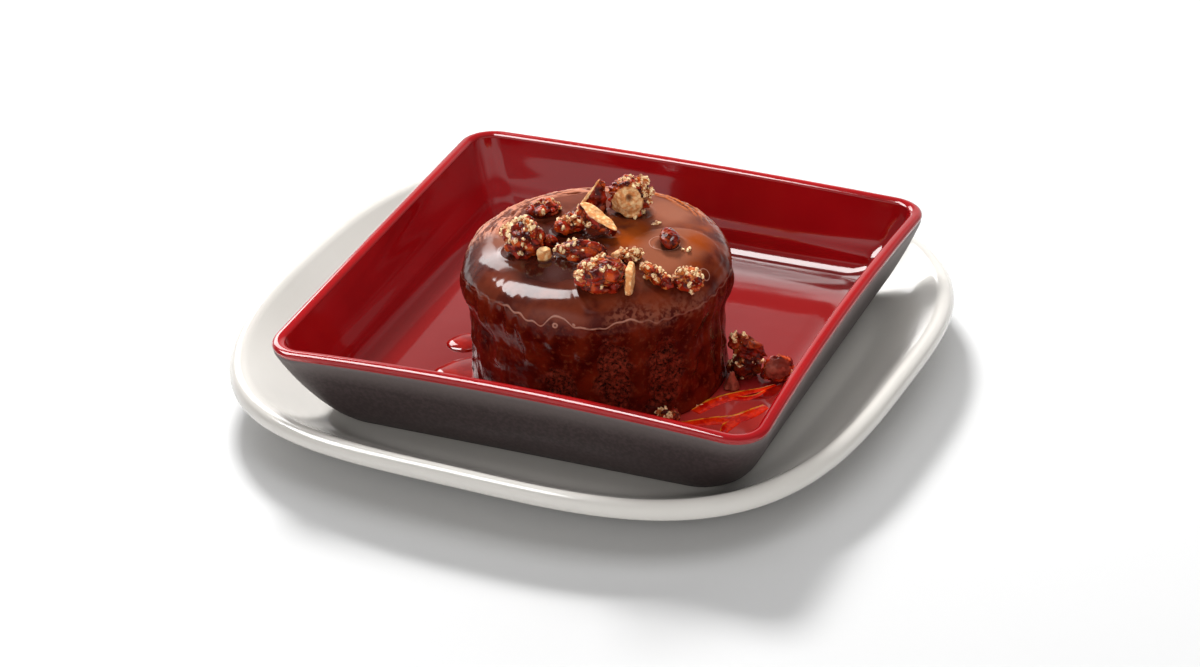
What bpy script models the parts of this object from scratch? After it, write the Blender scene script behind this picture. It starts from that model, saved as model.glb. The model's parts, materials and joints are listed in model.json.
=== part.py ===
"""Sticky toffee pudding with candied pecans, in its square glazed dish on a white plate.

Metres. The origin lies on the table under the middle of the plate, +Z is up, the plate's near
side faces -Y and its right side +X. Each piece is one closed solid, and pieces that lie on each
other keep a small clearance.
"""

import math

import bmesh
import bpy
from mathutils import Matrix, Vector, noise
from mathutils.bvhtree import BVHTree

CLEARANCE = 0.00035

# The plate: a squircle with a flat well, a sloping rim and a thick rolled lip, on a foot ring.
PLATE_POINTS = 60
PLATE_EXPONENT = 2.95
PLATE_WELL_EXPONENT = 3.4
PLATE_WELL_HALF = 0.0790
PLATE_WELL_Z = 0.0070
PLATE_LIP_HALF = 0.1010
PLATE_LIP_Z = 0.0170
PLATE_LIP_RADIUS = 0.0030
PLATE_LIP_ANGLES = range(-58, 123, 30)
PLATE_RIM_CURVE = 1.3
PLATE_RIM_SHARES = (0.22, 0.49, 0.75, 1.0, 1.2)
PLATE_CORNER_DROOP = 0.0019
PLATE_FOOT_HALF = 0.0620
PLATE_FOOT_WIDTH = 0.0042
PLATE_FOOT_SLOPE = 0.0018
PLATE_BASE_Z = 0.0026
PLATE_BELLY = ((0.0805, 0.0038), (0.0915, 0.0075))

# The dish: square, 160 mm across its rim, with pinched sides and slightly drooping corners.
DISH_CENTRE = (0.0045, -0.0019)
DISH_TURN = math.radians(2.64)
DISH_HALF = 0.0800
DISH_BOTTOM_Z = PLATE_WELL_Z + CLEARANCE
DISH_FLOOR_Z = 0.0123
DISH_RIM_EDGE_Z = 0.0358
DISH_RIM_TOP_Z = 0.0373
DISH_RIM_WIDTH = 0.0041
DISH_BAND_Z = 0.0330
DISH_BAND_HALF = 0.0794
DISH_LEAN = 0.0092
DISH_ROUNDING = 0.0065
DISH_RIM_CORNER = 0.0116
DISH_BASE_CORNER = 0.0130
DISH_FLOOR_HALF = 0.0606
DISH_FILLET = 0.0080
DISH_SIDE_PINCH = 0.0014
DISH_CORNER_DROOP = 0.0019
DISH_BASE_CHAMFER = 0.0030
DISH_WALL_SHARES = (0.0, 0.035, 0.12, 0.27, 0.47, 0.72, 1.0)
DISH_INNER_HEIGHTS = (0.0320, 0.0270, 0.0225)
DISH_FILLET_ANGLES = (-12, -38, -64, -90)
DISH_RIM_STEPS = 5
DISH_CORNER_STEPS = 5
DISH_SIDE_STEPS = 5

# The pudding: a turned sponge with a soft shoulder, coated in toffee sauce.
PUDDING_CENTRE = (0.0095, -0.0180)
PUDDING_BASE_Z = DISH_FLOOR_Z + CLEARANCE
PUDDING_HEIGHT = 0.0462
PUDDING_SHOULDER_RADIUS = 0.0122
PUDDING_SHOULDER_HALF = 0.0289
PUDDING_SHOULDER_Z = 0.0324
PUDDING_WAIST = 0.0389
PUDDING_UNDERCUT = 0.0100
PUDDING_FOOT_FLARE = 0.0008
PUDDING_FOOT_HEIGHT = 0.0060
PUDDING_LEAN = 0.02
PUDDING_SWELL = 0.0005
PUDDING_SWELL_GRAIN = 0.016
PUDDING_STEPS = 96
PUDDING_TOP_SHARES = (0.25, 0.5, 0.75)
PUDDING_SHOULDER_ANGLES = (78, 60, 43, 26, 9)
PUDDING_UNDERCUT_SHARES = (0.25, 0.6, 1.0)
PUDDING_SIDE_ROWS = 8
SAUCE_EDGE_Z = 0.0362
SAUCE_EDGE_SOFTNESS = 0.0020
SAUCE_EDGE_WAVES = ((0.0012, 11, 0.4), (0.0007, 17, 2.1))
SAUCE_THICKNESS = 0.0005
DRIP_COUNT = 13
DRIP_HEIGHT = 0.0007
DRIP_WIDTH = math.radians(4.0)
DRIP_WANDER = 0.22
DRIP_LOWEST = 0.0023
DRIP_SPREAD = 0.0100
DRIP_SOFTNESS = 0.0030
CRAG_DEPTH = 0.0019
CRAG_GRAIN = 0.0042
CRAGS = ((-82, 0.0145, 9, 0.006), (-58, 0.0180, 10, 0.015), (-34, 0.0150, 10, 0.013),
         (55, 0.0140, 12, 0.011), (118, 0.0180, 11, 0.010), (176, 0.0120, 9, 0.008))

# The pecan pieces: their lengths run from the line across the view, which the plate is turned to.
VIEW_TURN = math.radians(25.6)
CUT_SNAP = 0.00002
CUT_MERGE = 0.00008
TOP_START = 0.120
FLOOR_START = 0.033


def colour_material(name, colour, roughness):
    """A plain finish in the piece's own colour."""
    material = bpy.data.materials.new(name)
    material.use_nodes = True
    shader = material.node_tree.nodes["Principled BSDF"]
    shader.inputs["Base Color"].default_value = (*colour, 1.0)
    shader.inputs["Roughness"].default_value = roughness
    material.diffuse_color = (*colour, 1.0)
    return material


def add_piece(name, mesh, material, smooth_angle=40):
    """Links a finished mesh as a named piece of the object, shaded smooth up to an angle."""
    mesh.materials.clear()
    mesh.materials.append(material)
    mesh.shade_smooth()
    mesh.set_sharp_from_angle(angle=math.radians(smooth_angle))
    piece = bpy.data.objects.new(name, mesh)
    pieces.objects.link(piece)
    return piece


def mesh_from(shape, name):
    """Turns an edit mesh into mesh data and frees it."""
    bmesh.ops.recalc_face_normals(shape, faces=shape.faces)
    mesh = bpy.data.meshes.new(name)
    shape.to_mesh(mesh)
    shape.free()
    return mesh


def loft(name, rings):
    """A closed body skinned over rings with the same number of points, both ends filled."""
    shape = bmesh.new()
    rows = [[shape.verts.new(point) for point in ring] for ring in rings]
    count = len(rows[0])
    for row, following in zip(rows, rows[1:]):
        for index in range(count):
            after = (index + 1) % count
            shape.faces.new((row[index], row[after], following[after], following[index]))
    shape.faces.new(rows[0])
    shape.faces.new(rows[-1])
    return mesh_from(shape, name)


def squircle_ring(half, height):
    """One level ring of the plate, whose corners droop a little where the rim rises."""
    rise = min(1.0, max(0.0, (height - PLATE_WELL_Z) / (PLATE_LIP_Z - PLATE_WELL_Z)))
    exponent = PLATE_WELL_EXPONENT + (PLATE_EXPONENT - PLATE_WELL_EXPONENT) * rise
    corner = half ** 2 * 2 ** (-2 / exponent)
    ring = []
    for step in range(PLATE_POINTS):
        angle = 2 * math.pi * step / PLATE_POINTS
        along, across = math.cos(angle), math.sin(angle)
        reach = half / (abs(along) ** exponent + abs(across) ** exponent) ** (1 / exponent)
        x, y = reach * along, reach * across
        droop = PLATE_CORNER_DROOP * rise * (x * y / corner) ** 2
        ring.append((x, y, height - droop))
    return ring


def make_plate(material):
    """The plate, from its foot ring out under the rim, round the lip and into the well."""
    foot_inner = PLATE_FOOT_HALF - PLATE_FOOT_WIDTH
    outline = [(foot_inner - PLATE_FOOT_SLOPE, PLATE_BASE_Z), (foot_inner, 0.0), (PLATE_FOOT_HALF, 0.0),
               (PLATE_FOOT_HALF + PLATE_FOOT_SLOPE, PLATE_BASE_Z), *PLATE_BELLY]
    for degrees in PLATE_LIP_ANGLES:
        angle = math.radians(degrees)
        outline.append((PLATE_LIP_HALF + PLATE_LIP_RADIUS * math.cos(angle),
                        PLATE_LIP_Z + PLATE_LIP_RADIUS * math.sin(angle)))
    lip_inner, lip_top = outline[-1]
    for share in PLATE_RIM_SHARES:
        rise = max(0.0, 1 - share) ** PLATE_RIM_CURVE
        outline.append((lip_inner + (PLATE_WELL_HALF - lip_inner) * share,
                        PLATE_WELL_Z + (lip_top - PLATE_WELL_Z) * rise))
    rings = [squircle_ring(half, height) for half, height in outline]
    return add_piece("plate", loft("plate", rings), material)


def rounded_square(half, corner):
    """Points round a square with round corners, in the dish's own frame."""
    points = []
    inner = half - corner
    for quarter in range(4):
        turn = Matrix.Rotation(math.pi / 2 * quarter, 2)
        for step in range(DISH_CORNER_STEPS + 1):
            angle = math.pi / 2 * step / DISH_CORNER_STEPS
            points.append(turn @ Vector((inner + corner * math.cos(angle),
                                         inner + corner * math.sin(angle))))
        for step in range(1, DISH_SIDE_STEPS):
            along = inner * (1 - 2 * step / DISH_SIDE_STEPS)
            points.append(turn @ Vector((along, half)))
    return points


def dish_ring(half, corner, height):
    """One ring of the dish; its sides pinch in and its corners droop more towards the rim."""
    rise = max(0.0, (height - DISH_FLOOR_Z) / (DISH_RIM_EDGE_Z - DISH_FLOOR_Z))
    place = Matrix.Rotation(DISH_TURN, 2)
    ring = []
    for point in rounded_square(half, corner):
        x, y = point
        shorter = min(abs(x), abs(y)) / half
        pinch = DISH_SIDE_PINCH * rise * (1 - shorter ** 2)
        if abs(x) > abs(y):
            x -= math.copysign(pinch, x)
        else:
            y -= math.copysign(pinch, y)
        droop = DISH_CORNER_DROOP * rise * (point.x * point.y / half ** 2) ** 2
        turned_point = place @ Vector((x, y))
        ring.append((turned_point.x + DISH_CENTRE[0], turned_point.y + DISH_CENTRE[1],
                     height - droop))
    return ring


def dish_wall_half(height):
    """Half the dish's outer width at a height: an upright band, then a wall that curls under."""
    depth = max(0.0, (DISH_BAND_Z - height) / (DISH_BAND_Z - PLATE_WELL_Z))
    return DISH_BAND_HALF - DISH_LEAN * depth - DISH_ROUNDING * (1 - math.sqrt(1 - depth ** 2))


def make_dish(material):
    """The dish, from under its base up the outside, over the rim and down to the floor."""
    rings = []
    base_half = dish_wall_half(DISH_BOTTOM_Z)
    rings.append(dish_ring(base_half - DISH_BASE_CHAMFER, DISH_BASE_CORNER - DISH_BASE_CHAMFER,
                           DISH_BOTTOM_Z))
    for share in DISH_WALL_SHARES:
        height = DISH_BOTTOM_Z + share * (DISH_BAND_Z - DISH_BOTTOM_Z)
        corner = DISH_BASE_CORNER + share * (DISH_RIM_CORNER - DISH_BASE_CORNER)
        rings.append(dish_ring(dish_wall_half(height), corner, height))
    rim_middle = DISH_HALF - DISH_RIM_WIDTH / 2
    for step in range(DISH_RIM_STEPS + 1):
        angle = math.pi * step / DISH_RIM_STEPS
        out = DISH_RIM_WIDTH / 2 * math.cos(angle)
        up = (DISH_RIM_TOP_Z - DISH_RIM_EDGE_Z) * math.sin(angle)
        rings.append(dish_ring(rim_middle + out, DISH_RIM_CORNER - DISH_RIM_WIDTH / 2 + out,
                               DISH_RIM_EDGE_Z + up))
    inner_corner = DISH_RIM_CORNER - DISH_RIM_WIDTH
    for height in DISH_INNER_HEIGHTS:
        rings.append(dish_ring(dish_wall_half(height) - DISH_RIM_WIDTH, inner_corner, height))
    for degrees in DISH_FILLET_ANGLES:
        angle = math.radians(degrees)
        rings.append(dish_ring(DISH_FLOOR_HALF + DISH_FILLET * math.cos(angle), inner_corner,
                               DISH_FLOOR_Z + DISH_FILLET * (1 + math.sin(angle))))
    return add_piece("dish", loft("dish", rings), material)


def pudding_outline():
    """The pudding's turned profile, from the middle of its top down to its base."""
    top_angle = math.radians(PUDDING_SHOULDER_ANGLES[0])
    edge = PUDDING_SHOULDER_HALF + PUDDING_SHOULDER_RADIUS * math.cos(top_angle)
    edge_z = PUDDING_SHOULDER_Z + PUDDING_SHOULDER_RADIUS * math.sin(top_angle)
    outline = [(0.0, PUDDING_HEIGHT)]
    for share in PUDDING_TOP_SHARES:
        outline.append((edge * share, PUDDING_HEIGHT - (PUDDING_HEIGHT - edge_z) * share ** 2))
    for degrees in PUDDING_SHOULDER_ANGLES:
        angle = math.radians(degrees)
        outline.append((PUDDING_SHOULDER_HALF + PUDDING_SHOULDER_RADIUS * math.cos(angle),
                        PUDDING_SHOULDER_Z + PUDDING_SHOULDER_RADIUS * math.sin(angle)))
    widest = PUDDING_SHOULDER_HALF + PUDDING_SHOULDER_RADIUS
    for share in PUDDING_UNDERCUT_SHARES:
        ease = 0.5 - 0.5 * math.cos(math.pi * share)
        outline.append((widest + (PUDDING_WAIST - widest) * ease,
                        PUDDING_SHOULDER_Z - PUDDING_UNDERCUT * share))
    side_top = PUDDING_SHOULDER_Z - PUDDING_UNDERCUT
    for row in range(1, PUDDING_SIDE_ROWS + 1):
        height = side_top * (1 - row / PUDDING_SIDE_ROWS)
        flare = PUDDING_FOOT_FLARE * max(0.0, 1 - height / PUDDING_FOOT_HEIGHT) ** 2
        outline.append((PUDDING_WAIST + flare, height))
    outline.append((0.0, 0.0))
    return outline


def turned(name, outline, steps):
    """A closed mesh turned about Z from an outline that runs from the top down."""
    guide_mesh = bpy.data.meshes.new(name)
    points = [(radius, 0.0, height) for radius, height in outline]
    edges = [(index, index + 1) for index in range(len(points) - 1)]
    guide_mesh.from_pydata(points, edges, [])
    guide = bpy.data.objects.new(name, guide_mesh)
    bpy.context.scene.collection.objects.link(guide)
    screw = guide.modifiers.new("Screw", "SCREW")
    screw.steps = steps
    screw.render_steps = steps
    screw.use_merge_vertices = True
    screw.merge_threshold = 0.0001
    evaluated = guide.evaluated_get(bpy.context.evaluated_depsgraph_get())
    mesh = bpy.data.meshes.new_from_object(evaluated)
    bpy.data.objects.remove(guide)
    return mesh


def smooth_step(low, high, value):
    share = min(1.0, max(0.0, (value - low) / (high - low)))
    return share * share * (3 - 2 * share)


def angle_between(first, second):
    return (first - second + math.pi) % (2 * math.pi) - math.pi


def sauce_relief(angle, height):
    """How far the sauce coat stands out: a thick wavy edge on the shoulder and drips below it."""
    edge = SAUCE_EDGE_Z
    for swing, waves, phase in SAUCE_EDGE_WAVES:
        edge += swing * math.sin(waves * angle + phase)
    above = smooth_step(edge - SAUCE_EDGE_SOFTNESS, edge + SAUCE_EDGE_SOFTNESS, height)
    drips = 0.0
    for index in range(DRIP_COUNT):
        wander = DRIP_WANDER * math.sin(5.3 * index)
        middle = 2 * math.pi * index / DRIP_COUNT + wander
        reach = DRIP_LOWEST + DRIP_SPREAD * (index * 7 % 5) / 5
        across = angle_between(angle, middle) / DRIP_WIDTH
        length = smooth_step(reach - DRIP_SOFTNESS, reach + DRIP_SOFTNESS, height)
        drips = max(drips, math.exp(-across ** 2) * length)
    return SAUCE_THICKNESS * above + DRIP_HEIGHT * drips * (1 - above)


def crag_relief(angle, height, point):
    """How deep the torn sponge lies where the sauce has run off it."""
    bare = 0.0
    for degrees, middle, half_width, half_height in CRAGS:
        across = angle_between(angle, math.radians(degrees)) / math.radians(half_width)
        up = (height - middle) / half_height
        bare = max(bare, 1 - smooth_step(0.5, 1.1, math.hypot(across, up)))
    pits = noise.noise(point / CRAG_GRAIN) + 0.5 * noise.noise(point / CRAG_GRAIN * 2.1)
    return -CRAG_DEPTH * bare * (0.35 + 0.65 * pits)


def make_pudding(material):
    """The pudding: turned, then raised and pitted by its sauce coat and its torn sponge."""
    mesh = turned("pudding", pudding_outline(), PUDDING_STEPS)
    middle = Vector((*PUDDING_CENTRE, PUDDING_BASE_Z))
    for vertex in mesh.vertices:
        point = vertex.co.copy()
        radius = math.hypot(point.x, point.y)
        if point.z > 0.0005 and radius > 0.001:
            angle = math.atan2(point.y, point.x)
            swell = PUDDING_SWELL * noise.noise(point / PUDDING_SWELL_GRAIN)
            relief = sauce_relief(angle, point.z) + crag_relief(angle, point.z, point) + swell
            vertex.co += vertex.normal * relief
            vertex.co.z += PUDDING_LEAN * point.x * point.z / PUDDING_HEIGHT
        vertex.co += middle
    return add_piece("pudding", mesh, material, smooth_angle=60)


def noise_lumps(shape, size, depth, seed, ridges=0.0):
    """Roughens a nut piece: sugar lumps all over and, on a whole pecan, ridges along it."""
    shift = Vector((seed * 7.31, seed * 3.17, seed * 1.93))
    for vertex in shape.verts:
        direction = vertex.co.normalized()
        lumps = noise.noise(direction * 1.9 + shift) + 0.5 * noise.noise(direction * 4.1 + shift)
        furrow = ridges * math.cos(3 * math.atan2(vertex.co.z, vertex.co.y) + 0.6)
        vertex.co *= 1 + depth * lumps + furrow
    for vertex in shape.verts:
        vertex.co = Vector(a * b / 2 for a, b in zip(vertex.co, size))


def lump_shape(size, seed, detail=3, depth=0.22, ridges=0.0):
    """A rounded piece of candied nut; size is its length, width and height."""
    shape = bmesh.new()
    bmesh.ops.create_icosphere(shape, subdivisions=detail, radius=1.0)
    noise_lumps(shape, size, depth, seed, ridges)
    return shape


def slice_shape(size, seed, bend=0.0):
    """A flat slice of nut with rounded ends, bent along its length."""
    shape = bmesh.new()
    bmesh.ops.create_cube(shape, size=2.0)
    bmesh.ops.subdivide_edges(shape, edges=shape.edges, cuts=2, use_grid_fill=True)
    for vertex in shape.verts:
        x, y, z = vertex.co
        vertex.co.y = y * (1 - 0.45 * x ** 4)
        vertex.co.z = z * (1 - 0.25 * x ** 2) + bend * (x ** 2 - 0.5)
        vertex.co.x = x * (1 - 0.15 * y ** 2)
    noise_lumps(shape, size, 0.10, seed)
    return shape


def shard_shape(size, seed, sides=6, tip=0.25):
    """A broken corner of nut that tapers to one end."""
    shape = bmesh.new()
    bmesh.ops.create_cone(shape, cap_ends=True, segments=sides, radius1=1.1, radius2=tip, depth=2.0)
    bmesh.ops.subdivide_edges(shape, edges=shape.edges, cuts=1, use_grid_fill=True)
    bmesh.ops.triangulate(shape, faces=shape.faces)
    noise_lumps(shape, size, 0.16, seed)
    return shape


def normal_under(trees, start):
    """The upward normal of the first surface straight under a point."""
    nearest = min((tree.ray_cast(start, Vector((0, 0, -1))) for tree in trees),
                  key=lambda hit: hit[3] if hit[0] else math.inf)
    return nearest[1]


def tree_of(piece):
    shape = bmesh.new()
    shape.from_mesh(piece.data)
    tree = BVHTree.FromBMesh(shape)
    shape.free()
    return tree


def lower_onto(shape, supports):
    """Lowers a piece straight down until it lies a clearance above what is under it."""
    tree = BVHTree.FromBMesh(shape)
    probes = [vertex.co for vertex in shape.verts]
    probes += [face.calc_center_median() for face in shape.faces]
    probes += [(edge.verts[0].co + edge.verts[1].co) / 2 for edge in shape.edges]
    low = [min(point[axis] for point in probes) for axis in range(2)]
    high = [max(point[axis] for point in probes) for axis in range(2)]
    drop = 1.0
    for support in supports:
        support_tree = tree_of(support)
        for point in probes:
            _, _, _, distance = support_tree.ray_cast(point, Vector((0, 0, -1)))
            drop = min(drop, distance if distance is not None else drop)
        for vertex in support.data.vertices:
            spot = vertex.co
            if low[0] < spot.x < high[0] and low[1] < spot.y < high[1]:
                _, _, _, distance = tree.ray_cast(spot, Vector((0, 0, 1)))
                drop = min(drop, distance if distance is not None else drop)
    bmesh.ops.translate(shape, verts=shape.verts, vec=(0, 0, CLEARANCE - drop))


def lay(name, shape, spot, turn, material, lean=(0, 0), sink=0.3, start=TOP_START):
    """Sets a nut piece down at a spot with its base cut flat, as if pressed into the sauce.

    turn is in degrees from the line that runs across the view; lean tips the piece about its
    length and its width; sink is the share of its height that the flat base takes off; start
    is the height that it is lowered from, under the pudding's overhang for the floor's pieces.
    """
    tip = Matrix.Rotation(math.radians(lean[1]), 4, "Y") @ Matrix.Rotation(math.radians(lean[0]), 4, "X")
    bmesh.ops.transform(shape, matrix=tip, verts=shape.verts)
    lowest = min(vertex.co.z for vertex in shape.verts)
    highest = max(vertex.co.z for vertex in shape.verts)
    base = lowest + sink * (highest - lowest) / 2
    everything = shape.verts[:] + shape.edges[:] + shape.faces[:]
    cut = bmesh.ops.bisect_plane(shape, geom=everything, plane_co=(0, 0, base),
                                 plane_no=(0, 0, -1), clear_outer=True, dist=CUT_SNAP)
    rim = [item for item in cut["geom_cut"] if isinstance(item, bmesh.types.BMEdge)]
    bmesh.ops.contextual_create(shape, geom=rim)
    bmesh.ops.remove_doubles(shape, verts=shape.verts, dist=CUT_MERGE)
    supports = [piece for piece in pieces.objects if piece.name != "plate"]
    normal = normal_under([tree_of(piece) for piece in supports[:2]], Vector((*spot, start)))
    upright = Vector((0, 0, 1)).rotation_difference(normal).to_matrix()
    yaw = Matrix.Rotation(VIEW_TURN + math.radians(turn), 3, "Z")
    bmesh.ops.transform(shape, matrix=(upright @ yaw).to_4x4(), verts=shape.verts)
    bmesh.ops.translate(shape, verts=shape.verts, vec=(*spot, start))
    lower_onto(shape, supports)
    return add_piece(name, mesh_from(shape, name), material)


def make_top_pecans(glazed, cream):
    """The heap of candied pecan pieces on the pudding, from the back of the heap to the front."""
    lay("pecan_back", lump_shape((0.0126, 0.0095, 0.0140), 1), (0.0140, -0.0027), 0, glazed)
    lay("pecan_left", lump_shape((0.0110, 0.0070, 0.0054), 2), (-0.0110, -0.0120), 4, glazed)
    lay("pecan_upright", shard_shape((0.0095, 0.0050, 0.0098), 3), (0.0040, -0.0056), 6, glazed,
        lean=(0, 24), sink=0.2)
    lay("pecan_middle", lump_shape((0.0100, 0.0070, 0.0066), 4), (0.0020, -0.0209), 10, glazed)
    lay("pecan_slice_long", slice_shape((0.0156, 0.0050, 0.0028), 5, bend=0.25),
        (0.0100, -0.0186), -46, cream, lean=(-18, 20), sink=0.1)
    lay("pecan_crusted", lump_shape((0.0126, 0.0124, 0.0128), 6), (-0.0058, -0.0362), 0, glazed)
    lay("pecan_bit", lump_shape((0.0042, 0.0036, 0.0044), 7, detail=2), (0.0002, -0.0306), 0, glazed)
    lay("pecan_slice_small", slice_shape((0.0046, 0.0026, 0.0042), 8), (0.0018, -0.0386), 20, cream,
        sink=0.2)
    lay("pecan_half", lump_shape((0.0142, 0.0070, 0.0062), 9, ridges=0.07), (0.0124, -0.0340), -8,
        glazed, lean=(8, 0))
    lay("pecan_crumbly", lump_shape((0.0100, 0.0042, 0.0046), 10, detail=2, depth=0.3),
        (0.0254, -0.0308), 4, cream)
    lay("pecan_front", lump_shape((0.0138, 0.0104, 0.0124), 11), (0.0246, -0.0474), 4, glazed)
    lay("pecan_slice_front", slice_shape((0.0124, 0.0066, 0.0022), 12), (0.0322, -0.0432), 84, cream,
        lean=(78, 0), sink=0.1)
    lay("pecan_split", lump_shape((0.0130, 0.0048, 0.0058), 13, detail=2, depth=0.3),
        (0.0379, -0.0367), -42, cream)
    lay("pecan_cluster", lump_shape((0.0094, 0.0066, 0.0094), 14, depth=0.3), (0.0468, -0.0330), 8,
        cream, sink=0.5)
    lay("pecan_oval", lump_shape((0.0066, 0.0096, 0.0056), 15, detail=2, depth=0.1),
        (0.0334, -0.0168), 10, glazed)


def make_floor_pecans(glazed):
    """The pieces that fell beside the pudding, on the dish's floor at its right and near side."""
    lay("pecan_floor_base", lump_shape((0.0106, 0.0076, 0.0096), 16), (0.0534, -0.0062), 6, glazed,
        start=FLOOR_START)
    lay("pecan_floor_chunk", lump_shape((0.0088, 0.0078, 0.0088), 18), (0.0636, -0.0050), 8, glazed,
        start=FLOOR_START)
    lay("pecan_floor_ridged", lump_shape((0.0122, 0.0070, 0.0070), 17, ridges=0.09),
        (0.0549, -0.0085), -14, glazed, lean=(0, 24), start=FLOOR_START)
    lay("pecan_floor_tip", shard_shape((0.0058, 0.0050, 0.0062), 19), (0.0527, -0.0150), 0, glazed,
        start=FLOOR_START)
    lay("pecan_floor_near", lump_shape((0.0088, 0.0046, 0.0056), 20, detail=2),
        (0.0436, -0.0423), 4, glazed, start=FLOOR_START)


for leftover in list(bpy.data.objects):
    bpy.data.objects.remove(leftover)
pieces = bpy.data.collections.new("sticky_toffee_pudding")
bpy.context.scene.collection.children.link(pieces)

make_plate(colour_material("white_glaze", (0.78, 0.78, 0.75), 0.2))
make_dish(colour_material("red_glaze", (0.36, 0.02, 0.025), 0.2))
make_pudding(colour_material("toffee_sauce", (0.10, 0.02, 0.01), 0.25))
candied_nut = colour_material("candied_nut", (0.26, 0.06, 0.02), 0.3)
cut_nut = colour_material("cut_nut", (0.70, 0.46, 0.24), 0.5)
make_top_pecans(candied_nut, cut_nut)
make_floor_pecans(candied_nut)
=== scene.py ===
"""A sticky toffee pudding heaped with candied pecans, in a red-glazed dish on a white plate.

Metres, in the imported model's own frame: the table is z = 0, the plate's near side faces -Y and
its right side +X. The pieces are made in the order in which the dessert is put together.
"""

import json
import math

import bmesh
import bpy
from mathutils import Matrix, Vector, noise

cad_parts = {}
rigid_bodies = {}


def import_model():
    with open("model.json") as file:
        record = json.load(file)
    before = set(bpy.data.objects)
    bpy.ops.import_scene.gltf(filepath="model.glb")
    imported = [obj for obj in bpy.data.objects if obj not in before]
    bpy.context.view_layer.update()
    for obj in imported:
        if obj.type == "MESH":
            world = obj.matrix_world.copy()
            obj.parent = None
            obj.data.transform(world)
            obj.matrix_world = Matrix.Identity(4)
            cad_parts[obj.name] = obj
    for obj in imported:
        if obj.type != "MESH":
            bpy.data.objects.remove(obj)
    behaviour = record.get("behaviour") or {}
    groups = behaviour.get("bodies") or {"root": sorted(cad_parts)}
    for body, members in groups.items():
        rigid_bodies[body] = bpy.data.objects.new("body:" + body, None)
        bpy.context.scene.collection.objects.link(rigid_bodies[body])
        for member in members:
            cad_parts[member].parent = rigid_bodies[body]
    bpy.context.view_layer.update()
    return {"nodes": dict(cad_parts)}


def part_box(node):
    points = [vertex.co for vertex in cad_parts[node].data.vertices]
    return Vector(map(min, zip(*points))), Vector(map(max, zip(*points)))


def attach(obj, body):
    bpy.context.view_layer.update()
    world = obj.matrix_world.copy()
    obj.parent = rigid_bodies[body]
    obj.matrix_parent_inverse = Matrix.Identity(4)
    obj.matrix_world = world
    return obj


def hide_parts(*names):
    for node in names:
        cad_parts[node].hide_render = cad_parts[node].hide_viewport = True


for leftover in list(bpy.data.objects):
    bpy.data.objects.remove(leftover)
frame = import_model()


# The plate. Off-white glazed porcelain, pressed to a square with round sides and fired on a foot
# ring. Every level line on it is a rounded square, so the whole plate follows one rule.

PLATE_AROUND = 264
PLATE_ALONG = 190
PLATE_RIM_EXPONENT = 2.95
PLATE_WELL_EXPONENT = 3.4
PLATE_WELL_HALF = 0.0790
PLATE_WELL_Z = 0.0070
PLATE_LIP_HALF = 0.1010
PLATE_LIP_Z = 0.0170
PLATE_LIP_RADIUS = 0.0030
PLATE_LIP_ANGLES = range(-58, 123, 20)
PLATE_RIM_SHARES = (0.12, 0.25, 0.4, 0.55, 0.7, 0.85, 1.0, 1.2)
PLATE_BETWEEN = 6
PLATE_CORNER_DROOP = 0.0019
PLATE_RIM_CURVE = 1.3
PLATE_FOOT_HALF = 0.0620
PLATE_FOOT_WIDTH = 0.0042
PLATE_FOOT_SLOPE = 0.0018
PLATE_BASE_Z = 0.0026
PLATE_BELLY = ((0.0805, 0.0038), (0.0915, 0.0075))
WELD = 0.00001


def rgb(red, green, blue):
    """A colour as the eye reads it, 0 to 255, turned into the linear light that shaders use."""
    linear = []
    for part in (red, green, blue):
        share = part / 255
        linear.append(share / 12.92 if share <= 0.04045 else ((share + 0.055) / 1.055) ** 2.4)
    return (*linear, 1.0)


def writes(operation, swapped=False):
    """An operator method that writes one Math node."""
    def method(self, other=0.0):
        return self.maths(operation, *((other, self) if swapped else (self, other)))
    return method


class Value:
    """A socket that writes its own Math nodes when it is added, multiplied or raised."""

    def __init__(self, graph, socket):
        self.graph = graph
        self.socket = socket

    def maths(self, operation, first, second=0.0, clamp=False):
        settings = {"operation": operation, "use_clamp": clamp}
        return self.graph.node("ShaderNodeMath", settings, {0: first, 1: second})

    __add__ = __radd__ = writes("ADD")
    __sub__ = writes("SUBTRACT")
    __rsub__ = writes("SUBTRACT", swapped=True)
    __mul__ = __rmul__ = writes("MULTIPLY")
    __truediv__ = writes("DIVIDE")
    __rtruediv__ = writes("DIVIDE", swapped=True)
    __pow__ = writes("POWER")
    __rpow__ = writes("POWER", swapped=True)
    __abs__ = writes("ABSOLUTE")

    def clamped(self):
        return self.maths("ADD", self, 0.0, clamp=True)

    def step(self, low, high):
        """0 below low and 1 above high, with a soft change between them."""
        return self.graph.node("ShaderNodeMapRange", {"interpolation_type": "SMOOTHSTEP"},
                               {0: self, 1: low, 2: high})

    def of(self, output):
        """Another output of the node that this value comes from."""
        return Value(self.graph, self.socket.node.outputs[output])


class Graph:
    """A node tree: numbers are written as expressions, and any other node comes from node()."""

    def __init__(self, tree):
        self.tree = tree

    def node(self, kind, settings=None, inputs=None, output=0):
        made = self.tree.nodes.new(kind)
        for name, value in (settings or {}).items():
            setattr(made, name, value)
        for key, value in (inputs or {}).items():
            if isinstance(value, Value):
                self.tree.links.new(value.socket, made.inputs[key])
            else:
                made.inputs[key].default_value = value
        return Value(self, made.outputs[output])

    def parts(self, vector):
        """A vector's X; its Y and Z are of("Y") and of("Z")."""
        return self.node("ShaderNodeSeparateXYZ", inputs={0: vector})

    def joined(self, x, y, z):
        return self.node("ShaderNodeCombineXYZ", inputs={0: x, 1: y, 2: z})


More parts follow.
